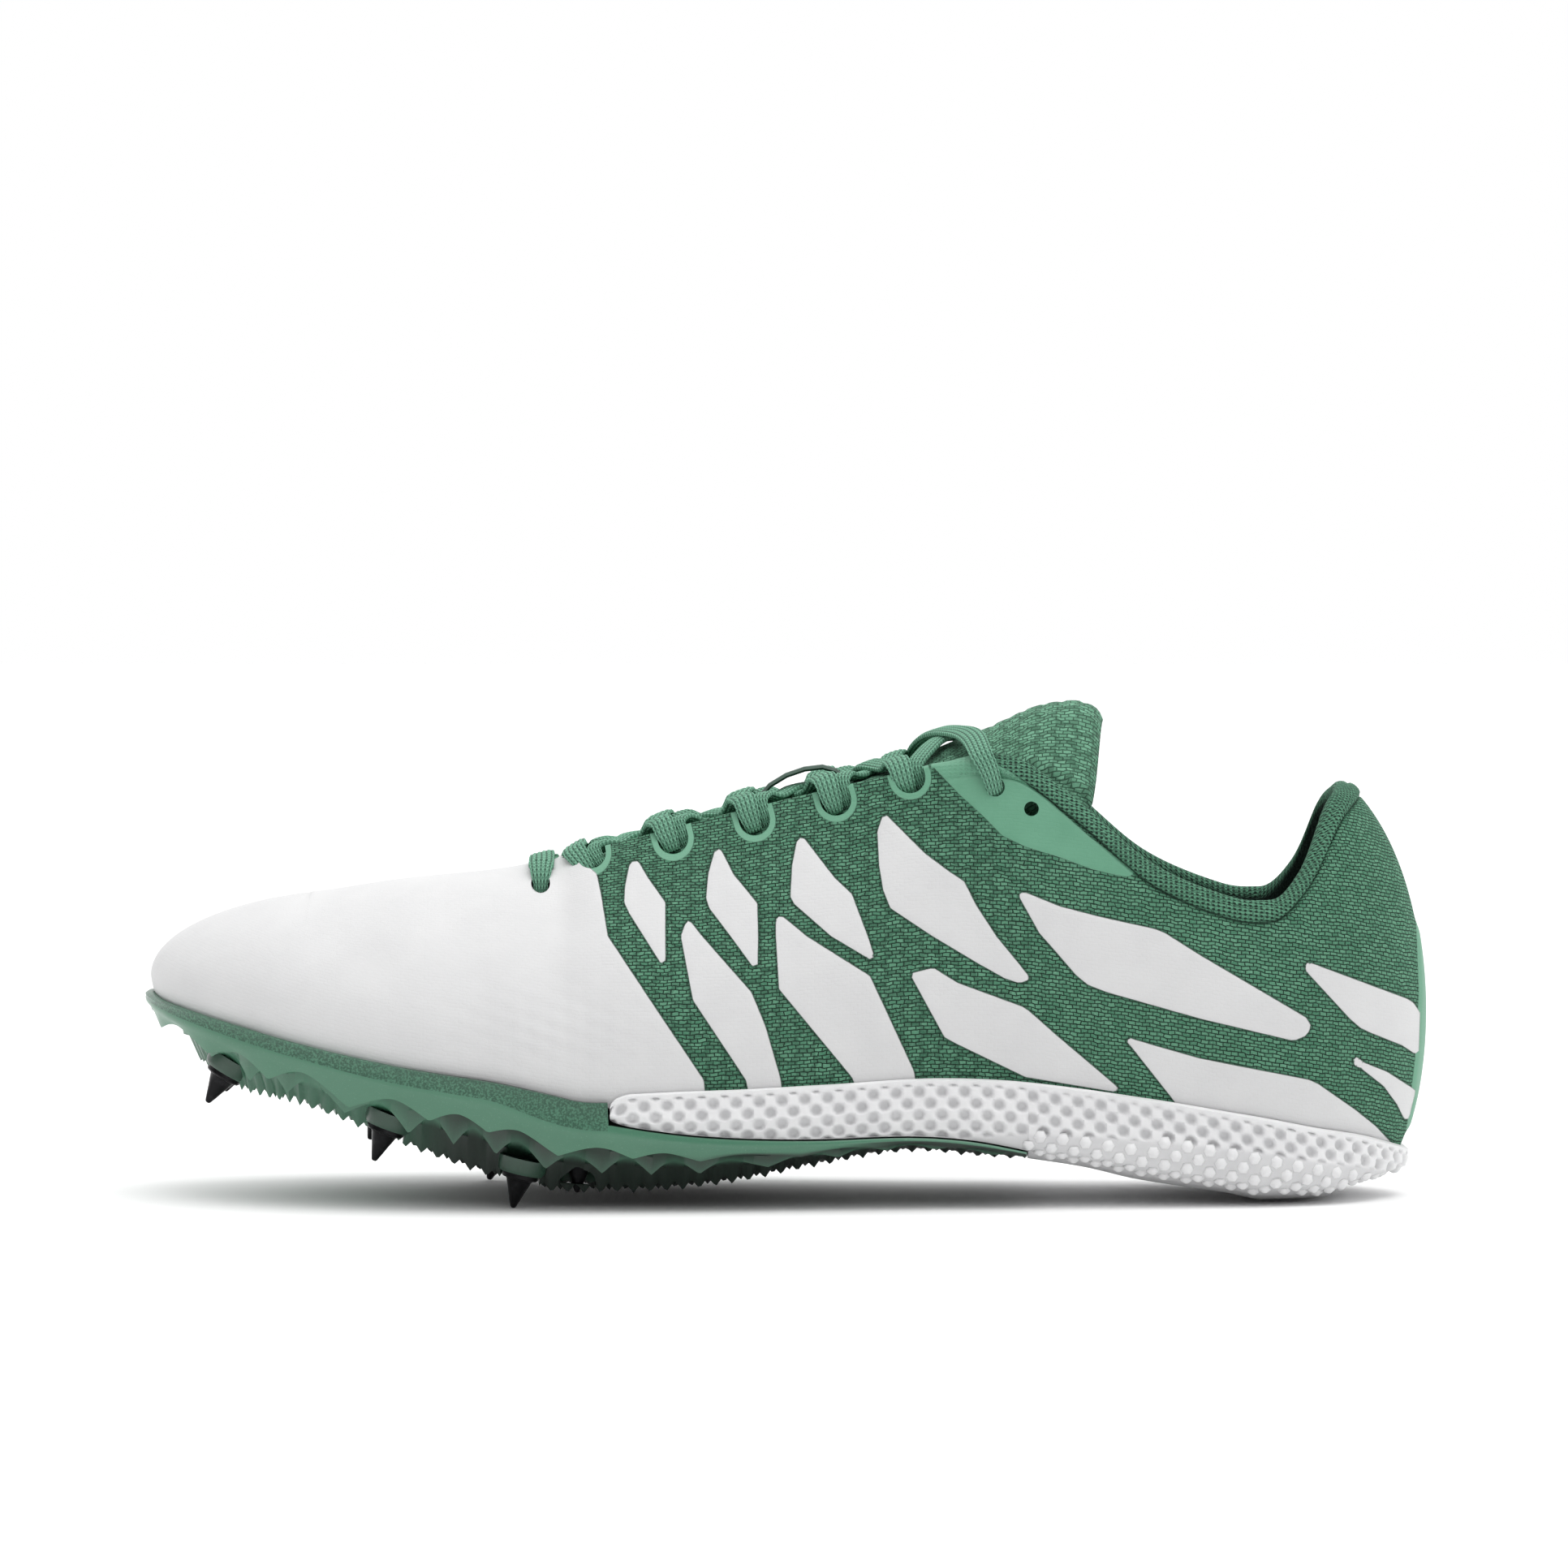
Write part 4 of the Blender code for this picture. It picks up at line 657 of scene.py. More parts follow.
t.put(t.step(t.plus(t.plus(waves[0], waves[1]), waves[2]), -1.0, -0.5), result["Cell"])

mat, t, shader = material("upper_knit_and_film")
surface = t.surface()
in_roll, inside, _ = t.split(t.surface("part"))
knit = t.use(knit_group, At=surface)
within = {name: t.step(t.kept(name), 0.12, -0.12) for name in ("film", "strap", "panel")}
outer_face = t.minus(1.0, inside)
panel_mask = t.times(within["panel"], outer_face)
film_mask = t.times(t.math("MAXIMUM", within["film"], within["strap"]), outer_face)
film_mask = t.times(film_mask, t.minus(1.0, panel_mask))
outline = t.times(t.step(t.kept("panel"), 0.75, 0.2), t.step(t.kept("panel"), -0.1, 0.1))
cloud = t.noise(t.here(), 60.0, 4.0)
fibre = t.noise(t.here(), 2600.0, 2.0)
green = t.mix(knit.outputs["Fleck"], (0.060, 0.195, 0.115, 1), (0.118, 0.300, 0.190, 1))
green = t.mix(t.times(t.step(fibre, 0.5, 0.8), 0.5), green, (0.24, 0.47, 0.34, 1))
plain = t.step(t.split(t.here())[0], 0.035, 0.075)     # no hexagons towards the heel
cell = t.math("MAXIMUM", knit.outputs["Cell"], plain)
green = t.mix(t.plus(0.62, t.times(cell, 0.38)), (0.010, 0.042, 0.024, 1), green)
green = t.mix(t.step(knit.outputs["Rib"], 0.1, 0.8), (0.005, 0.022, 0.012, 1), green)
green = t.mix(t.step(cloud, 0.35, 0.7), t.mix(0.15, green, (0.02, 0.07, 0.04, 1)), green)
diamonds = t.times(*[t.math("SINE", t.vector("DOT_PRODUCT", surface, way))
                     for way in ((2.6, 3.6, 0), (2.6, -3.6, 0))])
mesh_hole = t.times(t.step(diamonds, 0.15, 0.6), in_roll)
green = t.mix(t.times(in_roll, 0.6), green, (0.10, 0.27, 0.17, 1))
green = t.mix(mesh_hole, green, (0.012, 0.035, 0.022, 1))
# Painted shadow: a dark line along the seam under the collar's roll.
roll_seam_shadow = t.times(t.times(in_roll, t.minus(1.0, in_roll)), 3.4)
green = t.mix(roll_seam_shadow, green, (0.008, 0.028, 0.016, 1))
lining = t.mix(t.step(fibre, 0.3, 0.7), (0.020, 0.040, 0.030, 1), (0.05, 0.09, 0.07, 1))
green = t.mix(inside, green, lining)
green = t.mix(t.times(outline, 0.6), green, (0.010, 0.035, 0.02, 1))
smear = t.noise(t.here(), 220.0, 5.0)
film_color = t.mix(smear, (0.115, 0.305, 0.195, 1), (0.145, 0.355, 0.235, 1))
white = t.mix(t.noise(t.here(), 90.0, 5.0), (0.61, 0.61, 0.615, 1), (0.69, 0.69, 0.69, 1))
color = t.mix(film_mask, green, film_color)
color = t.mix(panel_mask, color, white)
t.put(color, shader.inputs["Base Color"])
covered = t.math("MAXIMUM", film_mask, panel_mask)
rough = t.minus(0.86, t.times(film_mask, 0.42))
rough = t.minus(rough, t.times(panel_mask, 0.36))
t.put(t.plus(rough, t.times(smear, 0.08)), shader.inputs["Roughness"])
open_knit = t.minus(1.0, t.times(covered, 0.93))
weave = t.plus(t.times(knit.outputs["Rib"], 0.7), t.times(cell, 0.45))
weave = t.minus(t.times(weave, open_knit), mesh_hole)
fine = t.bump(t.noise(t.here(), 1500.0, 3.0), 0.00004, 0.35)
t.put(t.bump(weave, 0.00040, 0.9, fine), shader.inputs["Normal"])
shader.inputs["Specular IOR Level"].default_value = 0.35
upper.data.materials.clear()
upper.data.materials.append(mat)

# Outsole plate.
# Hard green plastic, glossy, from the toe tip to the arch: a rim that cups the knit, a smooth
# drooping band whose lower edge hangs in scallops with sharp points, a second tier of scallops
# inside it, and a raised seat for each spike. The rim's top, the lower tiers, the tread and the
# seats are painted darker as shade, most under the ball and arch.
RIM, GAP = 1.7 * MM, 0.3 * MM
PLATE_GROUND = ((-0.500, 0.90), (-0.482, 0.76), (-0.449, 0.64), (-0.420, 0.54), (-0.373, 0.48),
                (-0.285, 0.27), (-0.218, 0.125), (-0.171, 0.066), (-0.120, 0.066),
                (-0.041, 0.108), (0.021, 0.183), (0.105, 0.26), (0.150, 0.235), (0.200, 0.22))
FOAM_SEAM = ((-0.133, 0.44), (-0.100, 0.405), (-0.059, 0.375), (0.025, 0.355), (0.090, 0.365),
             (0.141, 0.345), (0.187, 0.29), (0.215, 0.245))
FOAM_GROUND = ((0.187, 0.212), (0.233, 0.165), (0.271, 0.108), (0.316, 0.061), (0.343, 0.035),
               (0.372, 0.0), (0.388, 0.0), (0.410, 0.0), (0.422, 0.0), (0.432, 0.035),
               (0.454, 0.078), (0.477, 0.115), (0.490, 0.17))
FOAM_FRONT, PLATE_BACK = -0.1335 * LENGTH, 0.187 * LENGTH
LUG_PITCH, TOOTH_PITCH, TOOTH_DEPTH = 16.5 * MM, 3.6 * MM, 2.2 * MM
PLATE_EDGE_ANGLE = 38     # edges sharper than this stay sharp
# Lines of the plate's section. BAND: way in from the side as a share of the rim's width, and
# way down as a share of the plate's depth. TREAD: share of the half width, and height above the
# ground as a share of the depth. Every second line of the tread is toothed.
BAND = ((-0.10, 0.04), (-0.16, 0.10), (-0.10, 0.17), (0.12, 0.23))
TREAD = ((0.80, 0.42), (0.72, 0.02), (0.66, 0.20), (0.56, 0.02), (0.48, 0.20), (0.36, 0.05),
         (0.28, 0.22), (0.14, 0.10))
BAND_END, LUG_START, INNER_START = BAND[-1][1], 0.30, 0.45      # ways down where tiers begin


def ground_line(x, table):
    """Height at places along the foot from a table of shares of the length and toe spring."""
    return SPRING * follow(x, table)


def sole_top(ribs, share):
    """Height of a sole's upper face at a share of the way from the spine to the seat."""
    return ribs.spine_seat + (ribs.seat - ribs.spine_seat) * share - GAP


def rim_line(ribs, offset):
    """Place of the rim's top on each rib: the wall's place at the rim's height."""
    v = np.linspace(0, 0.3, 40)
    heights = ribs.profile(v)[..., 1]
    share = np.array([np.interp(z, row, v) for z, row in zip(ribs.seat + ribs.rim, heights)])
    return ribs.profile(share[:, None], offset)[:, 0]


def joined_ends(u):
    """Ribs of both sides in one run, from the lateral end round the toe to the medial end."""
    return Ribs(np.concatenate([u[::-1], u[1:]]),
                np.concatenate([-np.ones(len(u)), np.ones(len(u) - 1)]))


def seam_run(ribs):
    """Length along the seat line from the toe tip, on each side."""
    line = ribs.place(np.stack([ribs.reach, ribs.seat], axis=1)[:, None])[:, 0]
    run = run_of(line)
    return np.abs(run - run[len(run) // 2])


def scallop(run, pitch, sharp=0.85):
    """1 at the sharp hanging points and 0 in the round hollows between them."""
    return (1 - np.abs(np.sin(math.pi * run / pitch)))**sharp


def build_plate():
    step = row_at(FOAM_FRONT - GAP)
    count = 320
    u = np.sort(np.concatenate([even_rows(count, 0, row_at(PLATE_BACK)),
                                [row_at(FOAM_FRONT - GAP - 0.3 * MM), step]]))
    ribs = joined_ends(u)
    run = seam_run(ribs)
    edge = ribs.reach + GAP
    under = ribs.u >= step - 1e-6
    spine_x = ribs.spine[:, 0]
    ground = lambda r: ground_line(spine_x + r * ribs.out[:, 0], PLATE_GROUND)
    seam = ground_line(spine_x, FOAM_SEAM) - GAP
    top_level = np.where(under, seam, ribs.seat)
    near = soft_step(spine_x, FOAM_FRONT - 0.10 * LENGTH, FOAM_FRONT - GAP)
    level = np.where(under, seam, ribs.seat + (np.minimum(seam, ribs.seat) - ribs.seat) * near)
    depth = level - ground(edge)
    uneven = run + 2.6 * MM * np.sin(run / (17 * MM)) + 1.5 * MM * np.sin(run / (7.3 * MM))
    tip = scallop(uneven, LUG_PITCH) * (0.85 + 0.15 * np.sin(run / (8 * MM)))
    inner_tip = scallop(uneven + 0.37 * LUG_PITCH, 0.72 * LUG_PITCH)
    side = edge + RIM
    rim_in, rim_out = rim_line(ribs, GAP), rim_line(ribs, GAP + RIM)
    flat = lambda r: np.stack([r, np.where(under, top_level, sole_top(ribs, r / edge))], axis=1)
    low = np.stack([side, top_level], axis=1)
    rims = [np.where(under[:, None], flat(edge), rim_in),
            np.where(under[:, None], low, 0.5 * (rim_in + rim_out) + (0, 0.25 * MM)),
            np.where(under[:, None], low, rim_out)]
    rims = [line + (base - line) * 0.5 * near[:, None]
            for line, base in zip(rims, (flat(edge), 0.5 * (flat(edge) + low), low))]
    band = [np.stack([side - share * RIM, level - drop * depth], axis=1)
            for share, drop in BAND]
    arch = soft_step(spine_x, -0.12 * LENGTH, 0.0)
    ball = soft_step(spine_x, -0.34 * LENGTH, -0.22 * LENGTH)
    hang = LUG_START + (0.34 - 0.18 * ball) * tip
    blade = [np.stack([side - (0.15 + 0.35 * s + 0.25 * tip * s) * RIM,
                       level - (BAND_END + (hang - BAND_END) * s) * depth], axis=1)
             for s in (0.35, 0.7, 1.0)]
    tuck = [np.stack([side - (0.9 + 0.8 * s) * RIM, level - (hang - 0.10 * s) * depth], axis=1)
            for s in (0.3, 1.0)]
    second = INNER_START + (0.33 - 0.10 * ball) * inner_tip
    inner = [np.stack([edge * (0.90 - 0.03 * s),
                       level - (LUG_START + (second - LUG_START) * s) * depth], axis=1)
             for s in (0.3, 1.0)]
    tread = [np.stack([edge * r, ground(edge * r) + rise * (level - ground(edge * r))], axis=1)
             for r, rise in TREAD]
    for number, line in enumerate(tread):
        if number % 2:
            place = np.mod(run / TOOTH_PITCH + 0.25 * number, 1)
            line[:, 1] += np.minimum(TOOTH_DEPTH, 0.4 * depth) * abs(2 * place - 1)
    zero = 0 * edge
    floor_z = ground_line(spine_x, PLATE_GROUND)
    spine_level = np.where(under, top_level, ribs.spine_seat - GAP)
    last = np.stack([zero, floor_z + 0.22 * (spine_level - floor_z)], axis=1)
    top = [np.stack([zero, spine_level], axis=1), flat(0.55 * edge), flat(0.9 * edge)]
    sections = np.stack(top + rims + band + blade + tuck + inner + tread + [last], axis=1)
    grid = ribs.place(sections)
    columns, rows = grid.shape[:2]
    faces = quads(columns, rows).reshape(-1, 4).tolist()
    faces.append(end_face(columns, rows))
    # Painted shade on each line of the section, one number a line, and how much of it is rim
    painted_plate_shade = np.concatenate([[1] * len(top), (1, 0.9, 0.35), (0, 0, 0, 0), (0, 0.05, 0.1),
                            (0.6, 0.9), (0.85, 0.55), [1] * (len(tread) + 1)])
    rim = np.concatenate([[0] * len(top), (0, 0.5, 1), (1, 0.2, 0, 0),
                          [0] * (rows - len(top) - len(rims) - len(band))])
    # Painted shade: lighter at the toe, darkest from the ball back.
    painted_plate_shade = painted_plate_shade * (0.45 + 0.55 * soft_step(spine_x / LENGTH, -0.33, -0.23))[:, None]
    first = len(top) + len(rims) + len(band)
    last_blade = first + len(blade)
    # More painted shade on the blades under the arch, and on the band and blades at the waist.
    painted_plate_shade[:, first:last_blade] += arch[:, None] * (0.25, 0.6, 0.85)
    waist = soft_step(spine_x, 0.01 * LENGTH, 0.10 * LENGTH)[:, None]
    painted_plate_shade[:, first - 2:last_blade] = np.maximum(painted_plate_shade[:, first - 2:last_blade], 0.9 * waist)
    return new_piece("outsole_lugs", grid, faces, sharp=PLATE_EDGE_ANGLE,
                     part=(painted_plate_shade, rim[None] * ~under[:, None]))


plate = build_plate()
SPIKES = {"toe_lateral": (-0.449, -0.160, 0.480), "toe_medial": (-0.443, 0.215, 0.470),
          "front_lateral": (-0.317, -0.325, 0.225), "front_medial": (-0.330, 0.325, 0.205),
          "ball_lateral": (-0.2095, -0.350, 0.0), "ball_medial": (-0.235, 0.335, 0.0),
          "rear_lateral": (-0.160, -0.325, 0.072), "rear_medial": (-0.177, 0.305, 0.072)}
SPIKE_HEIGHT = 8.0


def turned(profile, sides=32):
    """Solid turned about +Z from distances from the axis and heights in mm: its points and
    faces, with the profile's two ends on the axis."""
    turn = np.arange(sides) * 2 * math.pi / sides
    line = np.array(profile, float)
    out, up = line[None, :, 0], np.broadcast_to(line[:, 1], (sides, len(line)))
    grid = np.stack([out * np.cos(turn)[:, None], out * np.sin(turn)[:, None], up], axis=-1) * MM
    return grid.reshape(-1, 3), quads(sides, len(line), wrap_columns=True).reshape(-1, 4)


def at_spikes(shape):
    """Points and faces of a shape repeated at each spike's seat, square to the plate there."""
    points, faces = shape
    all_points, all_faces = [], []
    for along, across, tip in SPIKES.values():
        x, run = along * LENGTH, 0.05 * LENGTH
        heights = ground_line(np.array([x - run, x + run]), PLATE_GROUND)
        up = np.array([-(heights[1] - heights[0]) / (2 * run), 0, 1])
        up /= np.linalg.norm(up)
        foot = np.array([x, across * BALL, tip * SPRING + 0.6 * MM * abs(up[0])])
        ahead = np.array([up[2], 0, -up[0]])
        axes = np.stack([ahead, (0, 1, 0), up])
        all_faces.append(faces + sum(len(group) for group in all_points))
        all_points.append(foot + up * SPIKE_HEIGHT * MM + points @ axes)
    return np.concatenate(all_points), np.concatenate(all_faces).tolist()


for name, profile, operation in (
        ("seats", ((0, 3.2), (5.6, 3.2), (5.2, 0.6), (4.9, 0.0), (4.7, -0.25), (0, -0.25)),
         "UNION"),
        ("wells", ((0, -0.02), (4.45, -0.02), (4.5, -6), (0, -6)), "DIFFERENCE")):
    points, faces = at_spikes(turned(profile))
    # The seats and wells carry a painted shade of 0.7 into the plate's "part" layer.
    painted_shade = np.full(len(points), 0.7)
    tool = new_piece(name, points, faces, part=(painted_shade, 0 * painted_shade))
    join = plate.modifiers.new(name, "BOOLEAN")
    join.object, join.solver, join.operation = tool, "EXACT", operation
applied(plate)
for name in ("seats", "wells"):
    bpy.data.objects.remove(bpy.data.objects[name])
plate.data.set_sharp_from_angle(angle=math.radians(PLATE_EDGE_ANGLE))

mat, t, shader = material("plate_plastic")
here = t.here()
speck = t.step(t.noise(here, 3300.0, 2.0), 0.62, 0.72)
tone = t.mix(t.noise(here, 45.0, 3.0), (0.050, 0.170, 0.100, 1), (0.080, 0.225, 0.140, 1))
tone = t.mix(t.times(speck, 0.25), tone, (0.20, 0.42, 0.30, 1))
painted_shade, rim, _ = t.split(t.surface("part"))
rim_top = t.step(rim, 0.50, 0.62)
tone = t.mix(t.times(rim_top, t.step(t.noise(here, 2200.0, 3.0), 0.35, 0.6)),
             tone, (0.022, 0.085, 0.050, 1))
# Painted shade: near-black where the plate's lower tiers, tread and seats lie in shade.
tone = t.mix(t.step(painted_shade, 0.1, 1.0), tone, (0.006, 0.016, 0.010, 1))
t.put(tone, shader.inputs["Base Color"])
t.put(t.plus(0.26, t.times(t.noise(here, 400.0, 4.0), 0.16)), shader.inputs["Roughness"])
t.put(t.bump(t.noise(here, 900.0, 3.0), 0.00006, 0.3), shader.inputs["Normal"])
shader.inputs["Coat Weight"].default_value = 0.25
shader.inputs["Coat Roughness"].default_value = 0.18
plate.data.materials.append(mat)
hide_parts("outsole_plate")
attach(plate, "root")

# Spikes.
# Eight black screw-in pins: a round collar with a chamfer against the plate's seat, a short
# waist, and a slim cone with a blunt tip.
pin = ((0, -0.02), (3.7, -0.02), (4.0, -0.3), (4.0, -1.15), (3.7, -1.45), (3.0, -1.6),
       (2.75, -1.9), (2.35, -3.0), (1.75, -4.6), (1.2, -6.2), (0.75, -7.4), (0.6, -7.75),
       (0.35, -7.95), (0, -8.0))
spikes = new_piece("spike_pins", *at_spikes(turned(pin)), sharp=30)
mat, t, shader = material("black_spike")
here = t.here()
worn = t.noise(here, 500.0, 4.0)
t.put(t.mix(t.step(worn, 0.5, 0.8), (0.006, 0.006, 0.007, 1), (0.022, 0.022, 0.024, 1)),
      shader.inputs["Base Color"])
shader.inputs["Metallic"].default_value = 0.75
t.put(t.plus(0.22, t.times(worn, 0.22)), shader.inputs["Roughness"])
turn_marks = t.noise(t.vector("MULTIPLY", here, (200, 200, 9000)), 1.0, 2.0)
t.put(t.bump(turn_marks, 0.00003, 0.4), shader.inputs["Normal"])
spikes.data.materials.append(mat)
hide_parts(*["spike_" + name for name in SPIKES])
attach(spikes, "root")

# Midsole foam.
# White moulded foam over the plate from its round nose at the ball, then down to the ground
# behind the plate. Its side has staggered dimples, which turn into small pyramid nubs low on
# the side. The underside is plain and lies one nub's height above the sole's ground line.
NUB, NUB_PITCH, NOSE = 0.9, 5.0, 5.0 * MM
NUB_RINGS = ((1.62, -0.25), (1.25, 0.35), (0.45, NUB))      # radius and height in mm
FOAM_TOP_ROWS = 5         # rows of a section before its round side
DIMPLE_RADIUS, DIMPLE_DEPTH, SIDE_ROWS = 1.65, 1.15, 46


def foam_sections(ribs):
    """The foam's section on each rib: top, rim, round side, underside. The nose rounds off."""
    step = PLATE_BACK + GAP
    edge = ribs.reach + GAP
    side = edge + RIM
    behind = (ribs.spine[:, 0] > step + 1e-6) | (ribs.u > HEEL_POLE)

    def ground(r):
        x = ribs.spine[:, 0] + r * ribs.out[:, 0]
        return np.where(behind, ground_line(x, FOAM_GROUND) + NUB * MM, ground_line(x, FOAM_SEAM))

    foot = np.where(behind, 0.86 * edge, side - 0.6 * RIM)
    low = ground(foot)
    depth = ribs.seat - low
    tuck = np.where(behind, 0.10 * depth, 0)
    rim_in, rim_out = rim_line(ribs, GAP), rim_line(ribs, GAP + RIM)
    zero = 0 * edge
    pair = lambda r, z: np.stack([r, z], axis=1)
    knots = np.stack([rim_out, pair(side + 0.22 * RIM, ribs.seat - 0.12 * depth),
                      pair(side + 0.3 * RIM, ribs.seat - 0.35 * depth),
                      pair(side + 0.1 * RIM, low + 0.45 * depth + 0.3 * tuck),
                      pair(side - 0.3 * RIM - 0.4 * tuck, low + 0.2 * depth + 0.5 * tuck),
                      pair(foot, low + tuck)], axis=1)
    numbers = np.arange(knots.shape[1])
    at = np.linspace(0, numbers[-1], SIDE_ROWS)
    round_side = np.stack([np.stack([smooth(at, numbers, row[:, i]) for i in (0, 1)], axis=1)
                           for row in knots])
    start = [pair(zero, sole_top(ribs, 0)), pair(0.55 * edge, sole_top(ribs, 0.55)),
             pair(edge, sole_top(ribs, 1)), rim_in, 0.5 * (rim_in + rim_out) + (0, 0.3 * MM)]
    end = [pair(r * edge, ground(r * edge)) for r in (0.72, 0.58, 0.44, 0.3, 0.15, 0.0)]
    sections = np.concatenate([np.stack(start, axis=1), round_side, np.stack(end, axis=1)], axis=1)
    past = np.clip((ribs.spine[:, 0] - FOAM_FRONT) / NOSE, 0, 1)
    tall = 0.42 + 0.58 * np.sqrt(1 - (1 - past)**2)
    middle = ((ribs.seat + low) / 2)[:, None]
    sections[..., 1] = middle + (sections[..., 1] - middle) * tall[:, None]
    return sections


def dimple_share(s_x, depth_below):
    """1 where the side is dimpled and 0 where it has nubs: the nubs begin lower down near
    the ball and higher up near the heel."""
    line = np.interp(s_x / MM, (-40, 20, 45, 70, 100, 141), (30, 16, 12, 9.5, 7.5, 6))
    return soft_step(line - depth_below, -0.6, 0.6)


def build_foam():
    start = row_at(FOAM_FRONT)
    step = PLATE_BACK + GAP
    count = 380
    extra = row_at(np.array([FOAM_FRONT + f * NOSE for f in (0.03, 0.1, 0.2, 0.35, 0.5, 0.75)]
                            + [step, step + 0.2 * MM]))
    u = np.unique(np.concatenate([even_rows(count, start, 20), extra]))
    ribs = Ribs(np.concatenate([u, u[-2::-1]]),
                np.concatenate([-np.ones(len(u)), np.ones(len(u) - 1)]))
    sections = foam_sections(ribs)
    grid = ribs.place(sections)
    columns, rows = grid.shape[:2]
    along = run_of(grid[:, FOAM_TOP_ROWS + SIDE_ROWS // 5]) / MM
    down = np.linalg.norm(np.diff(grid, axis=1, prepend=grid[:, :1]), axis=2)
    down[:, :FOAM_TOP_ROWS + 1] = 0
    down = np.cumsum(down, axis=1) / MM
    along = np.broadcast_to(along[:, None], down.shape)
    on_side = np.zeros(grid.shape[:2])
    on_side[:, FOAM_TOP_ROWS + 1:FOAM_TOP_ROWS + SIDE_ROWS - 1] = 1
    dimpled = dimple_share(grid[..., 0], down) * on_side * soft_step(down, 0.4, 1.0)
    far = np.min([np.hypot(np.mod(along / NUB_PITCH + shift, 1) - 0.5,
                           np.mod(down / NUB_PITCH + shift, 1) - 0.5) for shift in (0, 0.5)],
                 axis=0)
    pit = soft_step(DIMPLE_RADIUS - far * NUB_PITCH, 0, 0.55 * DIMPLE_RADIUS)
    # Painted shade between the nubs, low on the side.
    shade_between_nubs = 0.8 * (1 - dimple_share(grid[..., 0], down))
    sections[..., 0] -= DIMPLE_DEPTH * MM * pit * dimpled
    faces = quads(columns, rows).reshape(-1, 4).tolist()
    faces.append(end_face(columns, rows))
    # The foam's "part" layer carries painted shade: in the dimples' pits and between the nubs.
    return new_piece("midsole", ribs.place(sections), faces, sharp=50,
                     part=(np.maximum(pit * dimpled, shade_between_nubs), 0 * pit))


def nub_places():
    """Where the nubs stand and which way they point: staggered rows low on the side, 2.5 mm
    apart both ways."""
    half = NUB_PITCH / 2 * MM
    fine = np.linspace(float(row_at(-0.01)), 20, 3000)
    spots, ways = [], []
    for side in (-1, 1):
        ribs = Ribs(fine, side + 0 * fine)
        run = run_of(ribs.place(foam_sections(ribs))[:, 2 * FOAM_TOP_ROWS])
        u = np.interp(np.arange(0.5, run[-1] / half) * half, run, fine)
        ribs = Ribs(u, side + 0 * u)
        line = foam_sections(ribs)[:, FOAM_TOP_ROWS:FOAM_TOP_ROWS + SIDE_ROWS]
        for k in range(len(u)):
            length = run_of(line[k])
            t = np.arange(0.5 + (k % 2), length[-1] / half, 2) * half
            spot, further = (np.stack([np.interp(t + step, length, line[k, :, i])
                                       for i in (0, 1)], axis=1) for step in (0, 0.4 * MM))
            ahead = further - spot
            ahead /= np.linalg.norm(ahead, axis=1, keepdims=True) + 1e-9
            normal = np.stack([-ahead[:, 1], ahead[:, 0]], axis=1)
            x = ribs.spine[k, 0] + spot[:, 0] * ribs.out[k, 0]
            low = (dimple_share(x, t / MM) < 0.5) & (t < length[-1] - 0.8 * MM)
            low &= ~((x < PLATE_BACK + 1.5 * MM) & (t > length[-1] - 1.6 * MM))
            for p, n in zip(spot[low], normal[low]):
                spots.append([ribs.spine[k, 0] + p[0] * ribs.out[k, 0],
                              ribs.spine[k, 1] + p[0] * ribs.out[k, 1], p[1]])
                ways.append([n[0] * ribs.out[k, 0], n[0] * ribs.out[k, 1], n[1]])
    return np.array(spots), np.array(ways)


def build_nubs():
    """All nubs in one mesh: a six-sided stump with a small flat tip on each place."""
    spots, ways = nub_places()
    ways /= np.linalg.norm(ways, axis=1, keepdims=True)
    aside = np.cross(ways, (0.0, 1.0, 0.02))
    aside /= np.linalg.norm(aside, axis=1, keepdims=True)
    other = np.cross(ways, aside)
    turn = np.arange(6) * math.pi / 3
    rings = []
    cosine, sine = np.cos(turn)[None, :, None], np.sin(turn)[None, :, None]
    for radius, height in NUB_RINGS:
        spin = radius * (cosine * aside[:, None] + sine * other[:, None])
        rings.append(spots[:, None] + (spin + height * ways[:, None]) * MM)
    points = np.concatenate(rings, axis=1)
    one = [(r * 6 + k, r * 6 + (k + 1) % 6, (r + 1) * 6 + (k + 1) % 6, (r + 1) * 6 + k)
           for r in (0, 1) for k in range(6)]
    faces = [tuple(np.array(face) + 18 * i) for i in range(len(spots)) for face in one]
    faces += [tuple(12 + 18 * i + k for k in range(6)) for i in range(len(spots))]
    faces += [tuple(5 + 18 * i - k for k in range(6)) for i in range(len(spots))]
    return new_piece("midsole_nubs", points, faces, merge=0.000001)


foam = build_foam()
nubs = build_nubs()
mat, t, shader = material("white_foam")
here = t.here()
pit = t.split(t.surface("part"))[0]
tone = t.mix(t.noise(here, 120.0, 4.0), (0.72, 0.72, 0.73, 1), (0.84, 0.84, 0.84, 1))
# Painted shade: darker in the dimples' pits and between the nubs.
t.put(t.mix(t.times(pit, 0.40), tone, (0.36, 0.36, 0.37, 1)), shader.inputs["Base Color"])
shader.inputs["Roughness"].default_value = 0.5
t.put(t.bump(t.noise(here, 1100.0, 4.0), 0.00007, 0.4), shader.inputs["Normal"])
for piece in (foam, nubs):
    piece.data.materials.append(mat)
    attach(piece, "root")
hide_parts("midsole_foam")

